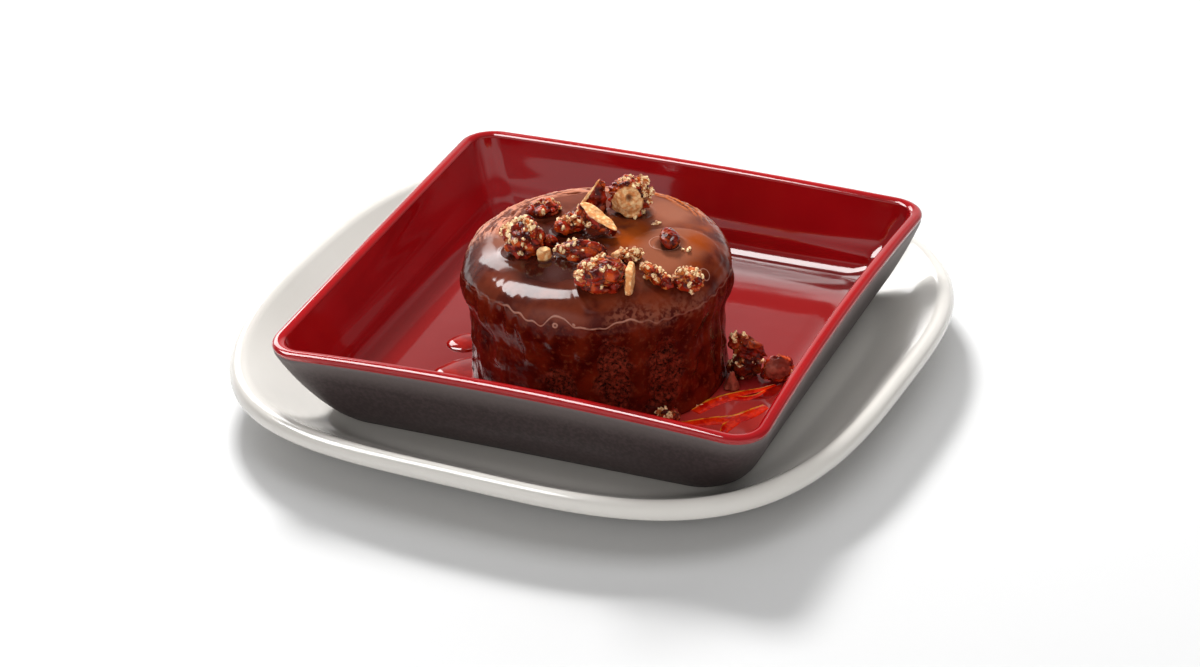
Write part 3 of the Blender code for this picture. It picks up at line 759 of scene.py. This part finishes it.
# The tops of the wrinkles are painted pale, pinkish on the left and orange on the right: a painted
# highlight.
crinkle_highlight = toffee.mix(rightwards.step(-0.004, 0.016), rgb(198, 130, 104), rgb(186, 98, 44))
crinkled = toffee.mix((toffee.painted("crinkle") + fleck * 0.7).step(0.72, 1.0),
                      rgb(98, 38, 14), crinkle_highlight)
colour = toffee.mix(wrinkled * 0.9, colour, crinkled)
colour = toffee.mix(froth * fleck.step(0.4, 0.58) * 0.7, colour, rgb(140, 78, 58))
line = 1 - abs(toffee.painted("from_edge")).step(0.10, 0.42)
line = line * toffee.painted("beaded") * toffee.cloud(0.006).step(0.26, 0.42)
for x, y, z, radius in BUBBLES:
    away = toffee.away_from((x / 1000, y / 1000, z / 1000))
    ring = 1 - abs(away * 1000 - radius).step(0.06, 0.26)
    line = line.maths("MAXIMUM", line, ring)
# The raised line along the coat's edge and the bubble rims are painted pale pink: a painted
# highlight on real ridges.
colour = toffee.mix(line * 0.75, colour, rgb(190, 132, 112))
crumb = toffee.mix(toffee.cloud(0.0012, detail=5.0, rough=0.75).step(0.36, 0.64),
                   rgb(24, 2, 1), rgb(132, 48, 32))
toffee.feed("Base Color", toffee.mix(bare, colour, crumb))
toffee.feed("Roughness", bare * 0.6 + wrinkled * 0.12 + froth * 0.2 + fleck * 0.12 + 0.14)
shine = toffee.painted("wet") * 0.84 + 0.08
toffee.feed("Coat Weight", (1 - bare) * shine * (tall.step(34.0, 40.0) * 0.85 + 0.15))
toffee.bump(fleck * (bare + wrinkled * 0.8 + froth * 0.6 + 0.04)
            + line * 0.9 + toffee.cloud(0.0045, detail=3.0) * 0.45, 0.0005, strength=0.6)

pudding = coated_pudding(toffee.material)
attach(pudding, "root")
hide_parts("pudding")


# The candied pecans. Broken halves boiled in sugar: a glossy red-brown candy shell with crumbs
# of pale nut and sugar stuck all over it, and clean cream faces where a piece has snapped.

NUTS = {
    "pecan_back": {"crumbs": 0.42, "toward": (0.9, 0.6, 0.0), "ridges": 0.26,
                   "disc": (-1.1, -1.8, 4.7), "hole": (-0.4, -0.6)},
    "pecan_left": {"crumbs": 0.28, "toward": (0.7, 0.6, 0.0)},
    "pecan_upright": {"face": ((-0.9, 0.35, 0.25), 0.45), "lobes": 0.2},
    "pecan_middle": {"crumbs": 0.30, "toward": (0.0, 0.5, 0.4)},
    "pecan_slice_long": {"face": ((0.25, 0.85, 0.6), 0.48), "lobes": 0.2,
                         "wider": ((0.66, 0.75, 0.0), 1.4)},
    "pecan_crusted": {"crumbs": 0.40, "toward": (-0.6, 0.6, 0.0)},
    "pecan_bit": {"lobes": 0.4},
    "pecan_slice_small": {"face": ((0.0, 1.0, 0.0), -2.0), "lobes": 0.5},
    "pecan_half": {"crumbs": 0.28, "toward": (-1.2, 0.6, 0.0), "lobes": 0.6,
                   "wider": ((0.9, -0.45, 0.0), 1.08)},
    "pecan_crumbly": {"crumbs": 0.85, "face": ((-0.95, 0.2, 0.3), 0.5)},
    "pecan_front": {"crumbs": 0.30, "toward": (-0.4, 0.6, 0.0), "wider": ((1.0, 0.0, 0.0), 1.2)},
    "pecan_slice_front": {"face": ((0.0, 0.0, 1.0), -2.0), "lobes": 0.3},
    "pecan_split": {"crumbs": 0.66, "toward": (-0.5, 0.8, 0.0)},
    "pecan_cluster": {"crumbs": 0.66, "toward": (0.0, 0.9, 0.1)},
    "pecan_oval": {"lobes": 0.3, "dark": 0.35},
    "pecan_floor_base": {"crumbs": 0.22, "dark": 0.75, "toward": (-0.3, 0.7, 0.0)},
    "pecan_floor_chunk": {"disc": (-0.3, 0.0, 3.3), "brown": 1.0,
                          "wider": ((0.95, 0.3, 0.0), 1.2)},
    "pecan_floor_ridged": {"crumbs": 0.24, "dark": 0.5, "lobes": 0.4, "ridges": 0.36,
                           "toward": (-0.8, 0.5, 0.0)},
    "pecan_floor_tip": {"lobes": 0.4, "face": ((0.0, 0.0, 1.0), -2.0),
                        "brown": 1.0},
    "pecan_floor_near": {"crumbs": 0.45, "dark": 0.3, "toward": (-0.9, 0.3, 0.0)},
}
PLAIN_NUT = {"crumbs": 0.0, "toward": (0.0, 0.0, 0.0), "face": ((0.0, 1.0, 0.0), 2.0),
             "wider": ((1.0, 0.0, 0.0), 1.0), "lobes": 1.0, "dark": 0.0, "brown": 0.0}
PICTURE_RIGHT = Vector((0.902, 0.431, 0.0))
PICTURE_UP = Vector((-0.213, 0.446, 0.869))
PICTURE_NEAR = Vector((0.375, -0.785, 0.494))
RIDGE_SPACING = 1.7
LOBE_SIZE = 4.6


def seen(right, up, near):
    """A direction given as the viewer sees it: to the right, upwards and nearer."""
    return (PICTURE_RIGHT * right + PICTURE_UP * up + PICTURE_NEAR * near).normalized()


ACROSS_RIDGES = seen(0.45, 0.9, 0.0)


def rounded_copy(name):
    """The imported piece's mesh, merged and rounded off, as a mesh fine enough for its crust."""
    shape = bmesh.new()
    shape.from_mesh(frame["nodes"][name].data)
    bmesh.ops.remove_doubles(shape, verts=shape.verts, dist=WELD)
    mesh = bpy.data.meshes.new(name)
    shape.to_mesh(mesh)
    shape.free()
    rough = bpy.data.objects.new(name + "_rough", mesh)
    bpy.context.scene.collection.objects.link(rough)
    rounding = rough.modifiers.new("Rounding", "SUBSURF")
    rounding.levels = 3 if len(mesh.vertices) > 100 else 4
    rounding.render_levels = rounding.levels
    evaluated = rough.evaluated_get(bpy.context.evaluated_depsgraph_get())
    rounded = bpy.data.meshes.new_from_object(evaluated)
    bpy.data.objects.remove(rough)
    return rounded


def snapped_share(spot, normal, right, up, look):
    """How far a point lies on the face where the piece has snapped, if it has one."""
    if "disc" in look:
        x, y, reach = look["disc"]
        away = math.hypot(right - x, up - y) + 0.5 * noise.noise(spot / 1.3)
        front = smooth_step(0.05, 0.35, normal.dot(PICTURE_NEAR))
        return front * (1 - smooth_step(reach - 0.25, reach + 0.25, away))
    facing, limit = look["face"]
    return smooth_step(limit - 0.07, limit + 0.05,
                       normal.dot(facing) + 0.10 * noise.noise(spot / 0.9))


def nut_point(vertex, middle, size, look):
    """Where a point of a candied piece goes, and the numbers that its finish needs there."""
    offset = vertex.co - middle
    spot = vertex.co / MILLIMETRE
    right = offset.dot(PICTURE_RIGHT) / MILLIMETRE
    up = offset.dot(PICTURE_UP) / MILLIMETRE
    flesh = snapped_share(spot, vertex.normal, right, up, look)
    warp = Vector((noise.noise(spot / 2.0), noise.noise(spot / 2.0 + Vector((4, 0, 0))), 0.0))
    cells, _ = noise.voronoi(spot / LOBE_SIZE + warp * 0.35)
    gap = cells[1] - cells[0]
    crease_shade = (1 - smooth_step(0.0, 0.10, gap)) * (1 - 0.8 * flesh)
    field = noise.noise(spot / 2.1) + 0.5 * noise.noise(spot / 0.8)
    field += 0.9 * look["toward"].dot(offset) / size
    swell = look["lobes"] * (0.75 * smooth_step(0.0, 0.42, gap) - 0.42) * (1 - flesh)
    swell += 0.70 * noise.noise(spot / 3.3) + 0.14 * noise.noise(spot / 1.1)
    if "ridges" in look:
        across = offset.dot(ACROSS_RIDGES) / MILLIMETRE + noise.noise(spot / 2.9)
        swell += look["ridges"] * math.cos(math.tau * across / RIDGE_SPACING) * (1 - flesh)
    if "hole" in look:
        away = math.hypot(right - look["hole"][0], up - look["hole"][1])
        away += 0.5 * noise.noise(spot / 1.6)
        wave = math.cos(math.tau * away / RIDGE_SPACING)
        swell += flesh * (0.07 * wave - 1.9 * math.exp(-(away / 0.9) ** 2))
        crease_shade = max(crease_shade, flesh * math.exp(-(away / 1.1) ** 4), flesh * 0.1 * (1 - wave))
    stretch, factor = look["wider"]
    place = vertex.co + stretch * offset.dot(stretch) * (factor - 1)
    place += vertex.normal * swell * (1 - 0.4 * flesh) * MILLIMETRE
    return place, {
        "pale": smooth_step(0.0, 0.10, field - 0.62 + look["crumbs"]) * (1 - flesh),
        "sugared": smooth_step(-0.1, 0.2, noise.noise(spot / 4.0)) * (1 - flesh),
        "crease_shade": crease_shade, "flesh": flesh, "dark": look["dark"], "brown": look["brown"],
        "warm": smooth_step(0.0, 0.25, noise.noise(spot / 3.1 + Vector((0, 5, 0))))}


def candied_nut(name, look, material):
    """One pecan piece: lobes of nut in candy, with painted shade in its creases, and the face that
    snapped.
    """
    mesh = rounded_copy(name)
    middle = sum((vertex.co for vertex in mesh.vertices), Vector()) / len(mesh.vertices)
    size = max(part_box(name)[1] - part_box(name)[0])
    look = {**PLAIN_NUT, **look}
    look["toward"] = seen(*look["toward"])
    for key in ("face", "wider"):
        direction, amount = look[key]
        look[key] = (seen(*direction), amount)
    points = [nut_point(vertex, middle, size, look) for vertex in mesh.vertices]
    for vertex, (place, _) in zip(mesh.vertices, points):
        vertex.co = place
    for label in points[0][1]:
        layer = mesh.attributes.new(label, "FLOAT", "POINT")
        layer.data.foreach_set("value", [numbers[label] for _, numbers in points])
    mesh.materials.clear()
    mesh.materials.append(material)
    mesh.shade_smooth()
    piece = bpy.data.objects.new(name.replace("pecan", "candied"), mesh)
    bpy.context.scene.collection.objects.link(piece)
    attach(piece, "root")
    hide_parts(name)
    return piece


candy = Finish("candied_pecan", {"IOR": 1.5, "Coat Roughness": 0.04,
                                 "Specular IOR Level": 0.15})
flesh = candy.painted("flesh")
mottle = candy.cloud(0.0026, detail=3.0)
speck = candy.cloud(0.0005, detail=2.0)
shell = candy.mix(mottle.step(0.34, 0.66), rgb(70, 8, 4), rgb(164, 38, 12))
shell = candy.mix(candy.painted("warm") * mottle.step(0.34, 0.62) * 0.6, shell, rgb(214, 88, 22))
shell = candy.mix(candy.painted("pale") * 0.75, shell, rgb(206, 118, 58))
# Creases and the hole in a snapped face are painted near black: painted shade.
shell = candy.mix(candy.painted("crease_shade") * 0.8, shell, rgb(26, 2, 2))
shell = candy.mix(candy.painted("dark") * 0.85, shell, rgb(46, 12, 8))
flesh_colour = candy.mix(candy.cloud(0.0012).step(0.40, 0.64), rgb(222, 146, 86),
                         rgb(250, 206, 150))
brown_flesh = candy.mix(mottle.step(0.4, 0.6), rgb(112, 44, 32), rgb(150, 74, 58))
flesh_colour = candy.mix(candy.painted("brown"), flesh_colour, brown_flesh)
# The snapped face is painted dark brown in its hole: painted shade.
flesh_colour = candy.mix(candy.painted("crease_shade") * 0.85, flesh_colour, rgb(88, 30, 10))
candy.feed("Base Color", candy.mix(flesh, shell, flesh_colour))
candy.feed("Roughness", flesh * 0.34 + speck * 0.06 + 0.10)
candy.feed("Coat Weight", (1 - flesh) * 0.32)
candy.bump(speck * 0.5 + candy.cloud(0.0011, detail=2.0), 0.0003, strength=0.6)

nuts = []
for name, look in NUTS.items():
    nut = candied_nut(name, look, candy.material)
    nuts.append(nut)


# The nut crumbs and sugar. Crumbs of pale nut stuck in the candy where it was thickest, and
# sugar grains shaken over it; each is one small broken shape, scattered over the nuts.

grain_rule, given = geometry_rule("grain_rule", {
    "Where": "String", "Spacing": "Float", "Smallest": "Float", "Largest": "Float",
    "Ruggedness": "Float", "Facets": "Int", "Seed": "Int", "Finish": "Material"})
facing_up = grain_rule.parts(grain_rule.node("GeometryNodeInputNormal")).of("Z")
where = grain_rule.node("GeometryNodeInputNamedAttribute", {"data_type": "FLOAT"},
                        {"Name": given["Where"]})
spread = grain_rule.node("GeometryNodeDistributePointsOnFaces",
                         {"distribute_method": "POISSON"},
                         {"Mesh": given["Geometry"], "Distance Min": given["Spacing"],
                          "Density Max": 4.0e6, "Seed": given["Seed"],
                          "Density Factor": facing_up.step(-0.5, 0.1) * where})
grain = grain_rule.node("GeometryNodeMeshIcoSphere", inputs={"Radius": 1.0,
                                                             "Subdivisions": given["Facets"]})
tumble = grain_rule.node("FunctionNodeRandomValue", {"data_type": "FLOAT_VECTOR"},
                         {0: (0.0, 0.0, 0.0), 1: (6.28, 6.28, 6.28), "Seed": 11})
size = grain_rule.node("FunctionNodeRandomValue", {"data_type": "FLOAT"},
                       {2: given["Smallest"], 3: given["Largest"], "Seed": 12}, output=1)
stretch = grain_rule.joined(size, size * 0.65, size * 0.42)
placed = grain_rule.node("GeometryNodeInstanceOnPoints", inputs={
    "Points": spread, "Instance": grain, "Rotation": tumble, "Scale": stretch})
placed = grain_rule.node("GeometryNodeRealizeInstances", inputs={0: placed})
shaken = grain_rule.node("ShaderNodeTexNoise", inputs={
    "Vector": grain_rule.node("GeometryNodeInputPosition"), "Scale": 2200.0}, output="Color")
shaken = grain_rule.node("ShaderNodeVectorMath", {"operation": "SUBTRACT"},
                         {0: shaken, 1: (0.5, 0.5, 0.5)})
shaken = grain_rule.node("ShaderNodeVectorMath", {"operation": "SCALE"},
                         {0: shaken, "Scale": given["Ruggedness"]})
placed = grain_rule.node("GeometryNodeSetPosition", inputs={"Geometry": placed, "Offset": shaken})
end_rule(grain_rule, placed, given, smooth=False)


def joined_copy(pieces):
    """One mesh that holds a copy of each of these pieces."""
    shape = bmesh.new()
    for piece in pieces:
        shape.from_mesh(piece.data)
    mesh = bpy.data.meshes.new("joined")
    shape.to_mesh(mesh)
    shape.free()
    return mesh


crumb_finish = Finish("nut_crumb", {"Roughness": 0.42})
crumb_tone = crumb_finish.cloud(0.0011, detail=3.0)
crumb_colour = crumb_finish.mix(crumb_tone.step(0.38, 0.54), rgb(176, 92, 42), rgb(255, 224, 172))
crumb_finish.feed("Base Color", crumb_colour)
sugar = Finish("sugar_grain", {"Roughness": 0.2, "Coat Weight": 0.6, "Coat Roughness": 0.1})
sugar.feed("Base Color", sugar.mix(sugar.cloud(0.0017).step(0.42, 0.6), rgb(190, 110, 60),
                                   rgb(246, 222, 190)))

stuck = grown("stuck_crumbs", joined_copy(nuts), grain_rule, {
    "Where": "pale", "Spacing": 0.00100, "Smallest": 0.00040, "Largest": 0.00135,
    "Ruggedness": 0.0013, "Facets": 2, "Seed": 3, "Finish": crumb_finish.material})
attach(stuck, "root")
grains = grown("sugar_grains", joined_copy(nuts), grain_rule, {
    "Where": "sugared", "Spacing": 0.0012, "Smallest": 0.00008, "Largest": 0.00020,
    "Ruggedness": 0.0001, "Facets": 1, "Seed": 4, "Finish": sugar.material})
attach(grains, "root")


# The sauce on the dish's floor. Ropes of hot toffee that ran down to the near right corner and
# set in a fan, with thin puddles on the left; the ropes carry a painted highlight in pale amber
# along the side that faces back and to the left, and a faint painted glow.

ROPES = (
    ((48.0, -32.4, 1.3), (50.6, -25.5, 1.5), (54.2, -20.1, 1.4), (57.4, -16.1, 1.0),
     (61.2, -12.4, 0.8), (64.0, -8.1, 0.4)),
    ((47.7, -28.0, 0.9), (50.7, -23.7, 1.0), (54.0, -20.3, 1.1), (58.0, -19.6, 0.9),
     (61.2, -16.6, 0.7), (62.6, -12.6, 0.4)),
    ((45.0, -42.0, 1.0), (49.4, -39.5, 1.3), (54.8, -35.3, 1.5), (58.6, -33.2, 1.6),
     (61.4, -30.8, 1.6), (64.0, -26.4, 1.6), (66.4, -21.4, 1.1)),
    ((60.6, -40.4, 0.7), (60.4, -36.6, 1.3), (60.9, -32.8, 1.5)),
)
ROPE_LIFT = 0.00018
ROPE_THICKNESS = 1.45
ROPE_FLATNESS = 0.32

rope_rule, given = geometry_rule("rope_rule", {"Floor": "Float", "Flatness": "Float",
                                               "Finish": "Material"})
curve = rope_rule.node("GeometryNodeMeshToCurve", inputs={"Mesh": given["Geometry"]})
curve = rope_rule.node("GeometryNodeCurveSplineType", {"spline_type": "CATMULL_ROM"}, {0: curve})
curve = rope_rule.node("GeometryNodeSetSplineResolution",
                       inputs={"Geometry": curve, "Resolution": 14})
thick = rope_rule.node("GeometryNodeInputNamedAttribute", {"data_type": "FLOAT"},
                       {"Name": "thick"})
curve = rope_rule.node("GeometryNodeSetCurveRadius", inputs={"Curve": curve, "Radius": thick})
ring = rope_rule.node("GeometryNodeCurvePrimitiveCircle", {"mode": "RADIUS"},
                      {"Resolution": 20, "Radius": 1.0})
tube = rope_rule.node("GeometryNodeCurveToMesh", inputs={
    "Curve": curve, "Profile Curve": ring, "Fill Caps": True, "Scale": thick})
at = rope_rule.parts(rope_rule.node("GeometryNodeInputPosition"))
low = given["Floor"] + (at.of("Z") - given["Floor"]) * given["Flatness"]
tube = rope_rule.node("GeometryNodeSetPosition", inputs={
    "Geometry": tube, "Position": rope_rule.joined(at, at.of("Y"), low)})
end_rule(rope_rule, tube, given)

amber_sauce = Finish("amber_sauce", {"IOR": 1.5, "Roughness": 0.08, "Coat Weight": 0.8,
                                     "Coat Roughness": 0.03})
streaks = amber_sauce.cloud(0.0028, detail=3.0)
amber_body = amber_sauce.mix(streaks.step(0.36, 0.62), rgb(182, 8, 2), rgb(224, 44, 4))
lit_side = amber_sauce.node("ShaderNodeVectorMath", {"operation": "DOT_PRODUCT"},
                            {0: amber_sauce.node("ShaderNodeNewGeometry", output="Normal"),
                             1: (-0.62, 0.78, 0.0)}, output=1)
# The side of each rope that faces back and to the left is painted pale amber: a painted highlight.
rope_edge_highlight = lit_side.step(0.05, 0.30) * streaks.step(0.30, 0.55)
amber_colour = amber_sauce.mix(rope_edge_highlight, amber_body, rgb(255, 176, 52))
amber_sauce.feed("Base Color", amber_colour)
# The ropes also give out their colour as a faint glow: painted light.
amber_sauce.feed("Emission Color", amber_colour)
amber_sauce.shader.inputs["Emission Strength"].default_value = 0.12
amber_sauce.bump(amber_sauce.cloud(0.003, detail=2.0), 0.0008, strength=0.8)

rope_points = []
rope_edges = []
rope_thick = []
for path in ROPES:
    for index, (x, y, width) in enumerate(path):
        if index:
            rope_edges.append((len(rope_points) - 1, len(rope_points)))
        rope_points.append((x * MILLIMETRE, y * MILLIMETRE, DISH_FLOOR_Z + ROPE_LIFT))
        rope_thick.append(width * MILLIMETRE * ROPE_THICKNESS)
rope_mesh = bpy.data.meshes.new("rope_paths")
rope_mesh.from_pydata(rope_points, rope_edges, [])
rope_mesh.attributes.new("thick", "FLOAT", "POINT").data.foreach_set("value", rope_thick)
ropes = grown("sauce_ropes", rope_mesh, rope_rule, {
    "Floor": DISH_FLOOR_Z, "Flatness": ROPE_FLATNESS, "Finish": amber_sauce.material})
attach(ropes, "root")

PUDDLES = {
    "sauce_leaf": (((-40.2, -24.6), (-39.8, -20.6), (-37.6, -17.2), (-33.6, -15.4),
                    (-30.0, -17.0), (-29.6, -23.0), (-32.4, -26.8), (-36.6, -27.4)), 1.3),
    "sauce_lobe": (((-36.0, -42.0), (-34.6, -36.4), (-31.6, -31.4), (-27.0, -28.4),
                    (-22.0, -32.0), (-18.0, -40.0), (-18.0, -47.6), (-25.0, -48.4),
                    (-32.0, -46.6)), 1.5),
    "sauce_film": (((46.4, -28.6), (50.2, -21.6), (55.6, -15.4), (61.6, -10.2), (66.0, -6.6),
                    (67.4, -10.0), (65.6, -15.6), (60.6, -19.4), (56.0, -21.6), (51.0, -26.0)),
                   0.3),
}
PUDDLE_RINGS = (1.0, 0.985, 0.95, 0.88, 0.76, 0.6, 0.4, 0.2)
PUDDLE_SINK = 0.0001


def puddle(name, outline, height, material):
    """A rounded pool on the dish's floor, raised to a height in millimetres."""
    closed = [Vector(point) * MILLIMETRE for point in outline]
    middle = sum(closed, Vector((0.0, 0.0))) / len(closed)
    rounded = smooth_line([closed[-1], *closed, closed[0], closed[1]], 8)[8:-9]
    rings = []
    for share in PUDDLE_RINGS:
        top = DISH_FLOOR_Z - PUDDLE_SINK + math.sqrt(1 - share ** 4) * height * MILLIMETRE
        rings.append([(*(middle + (point - middle) * share), top) for point in rounded])
    shape, rows = skin(rings)
    shape.faces.new(rows[-1])
    shape.faces.new(rows[0])
    piece = add_mesh(name, shape, {}, material)
    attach(piece, "root")


red_sauce = Finish("red_sauce", {"IOR": 1.5, "Roughness": 0.07, "Coat Weight": 0.8,
                                 "Coat Roughness": 0.03})
red_sauce.feed("Base Color", red_sauce.mix(red_sauce.cloud(0.006).step(0.35, 0.65),
                                           rgb(136, 8, 6), rgb(170, 24, 10)))
for name, (outline, height) in PUDDLES.items():
    puddle(name, outline, height, red_sauce.material)


# The loose crumbs. Bits of pale nut that fell on the glaze and beside the pudding.

CRUMBS = ((24.4, -6.4, 59.2, 1.2), (39.8, -17.4, 59.0, 1.1), (38.4, -18.4, 59.1, 0.6),
          (4.8, -37.3, 59.2, 0.5), (47.1, -29.6, 12.9, 0.9), (48.4, -28.4, 12.8, 0.6),
          (53.4, -9.2, 13.0, 0.7), (70.4, -31.0, 12.7, 0.5))

shape = bmesh.new()
for x, y, z, half in CRUMBS:
    spot = Vector((x, y, z))
    turn = Matrix.Rotation(x * 1.7, 4, "Z") @ Matrix.Diagonal((1.0, 0.6, 0.45, 1.0))
    place = Matrix.Translation(spot * MILLIMETRE) @ turn
    made = bmesh.ops.create_icosphere(shape, subdivisions=4, radius=half * MILLIMETRE, matrix=place)
    for vertex in made["verts"]:
        rough = noise.noise(vertex.co / 0.0007) + 0.5 * noise.noise(vertex.co / 0.0003)
        vertex.co += (vertex.co - place.translation) * rough * 0.9
crumbs = add_mesh("loose_crumbs", shape, {}, crumb_finish.material)
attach(crumbs, "root")


# The table, the studio light and the camera. A key light behind on the left casts the shadow,
# two softboxes on the left only show as reflections in what is wet, and weak fills and pale
# walls before and behind the table soften the rest.

TABLE_SIZE = 6.0
CAMERA_AZIMUTH = math.radians(25.56)
CAMERA_ELEVATION = math.radians(29.58)
CAMERA_DISTANCE = 1.1947
CAMERA_TARGET = Vector((0.01913, -0.03731, 0.0358))
CAMERA_ROLL = math.radians(-1.313)
CAMERA_LENS = 119.14

table_finish = Finish("pale_table", {"Roughness": 0.6})
table_finish.feed("Base Color", table_finish.mix(table_finish.cloud(0.6), rgb(208, 208, 208),
                                                 rgb(212, 212, 212)))
shape = bmesh.new()
bmesh.ops.create_grid(shape, x_segments=1, y_segments=1, size=TABLE_SIZE / 2)
table = add_mesh("table", shape, {}, table_finish.material, closed=False)


def softbox(name, direction, distance, width, height, power, mirrored, lighting):
    """A rectangular studio light that faces the dessert from a direction."""
    lamp = bpy.data.lights.new(name, "AREA")
    lamp.shape = "RECTANGLE"
    lamp.size = width
    lamp.size_y = height
    lamp.energy = power
    holder = bpy.data.objects.new(name, lamp)
    toward = Vector(direction).normalized()
    facing = toward.to_track_quat("Z", "Y").to_matrix().to_4x4()
    holder.matrix_world = Matrix.Translation(toward * distance) @ facing
    holder.visible_glossy = mirrored
    holder.visible_diffuse = lighting
    bpy.context.scene.collection.objects.link(holder)


softbox("key_behind_left", (-0.455, 0.625, 0.635), 1.5, 0.34, 0.30, 36.0, False, True)
softbox("high_left", (-0.50, -0.14, 0.80), 1.3, 0.62, 0.98, 22.0, True, False)
softbox("left_window", (-0.69, 0.51, 0.52), 1.4, 0.62, 0.60, 6.5, True, False)
softbox("overhead", (0.15, 0.05, 1.0), 1.6, 1.4, 1.4, 11.0, False, True)
softbox("fill_behind", (0.20, 0.92, 0.34), 1.8, 1.0, 0.6, 7.0, False, True)
softbox("fill_front", (0.10, -0.90, 0.42), 2.0, 1.4, 0.8, 10.0, False, True)

sky = bpy.data.worlds.new("studio")
sky.use_nodes = True
studio = Graph(sky.node_tree)
direction = studio.parts(studio.node("ShaderNodeTexCoord", output="Generated"))
high = direction.of("Z")
toward_viewer = direction * math.sin(CAMERA_AZIMUTH) - direction.of("Y") * math.cos(CAMERA_AZIMUTH)
front_wall = (1 - high.step(0.50, 0.75)) * toward_viewer.step(0.15, 0.60)
back_wall = (1 - high.step(0.42, 0.55)) * (0 - toward_viewer).step(0.45, 0.80)
strength = front_wall * 0.55 + back_wall * 0.5 + 0.12
background = sky.node_tree.nodes["Background"]
background.inputs["Color"].default_value = (1.0, 1.0, 1.0, 1.0)
sky.node_tree.links.new(strength.socket, background.inputs["Strength"])
bpy.context.scene.world = sky
bpy.context.scene.view_settings.view_transform = "Standard"

back = Vector((math.sin(CAMERA_AZIMUTH) * math.cos(CAMERA_ELEVATION),
               -math.cos(CAMERA_AZIMUTH) * math.cos(CAMERA_ELEVATION),
               math.sin(CAMERA_ELEVATION)))
right = Vector((math.cos(CAMERA_AZIMUTH), math.sin(CAMERA_AZIMUTH), 0.0))
up = back.cross(right)
rolled_right = right * math.cos(CAMERA_ROLL) + up * math.sin(CAMERA_ROLL)
rolled_up = up * math.cos(CAMERA_ROLL) - right * math.sin(CAMERA_ROLL)
lens = bpy.data.cameras.new("camera")
lens.lens = CAMERA_LENS
lens.sensor_width = 36.0
lens.clip_start = 0.05
lens.clip_end = 20.0
camera = bpy.data.objects.new("camera", lens)
camera.matrix_world = Matrix.Translation(CAMERA_TARGET + back * CAMERA_DISTANCE) @ Matrix(
    (rolled_right, rolled_up, back)).transposed().to_4x4()
bpy.context.scene.collection.objects.link(camera)
bpy.context.scene.camera = camera
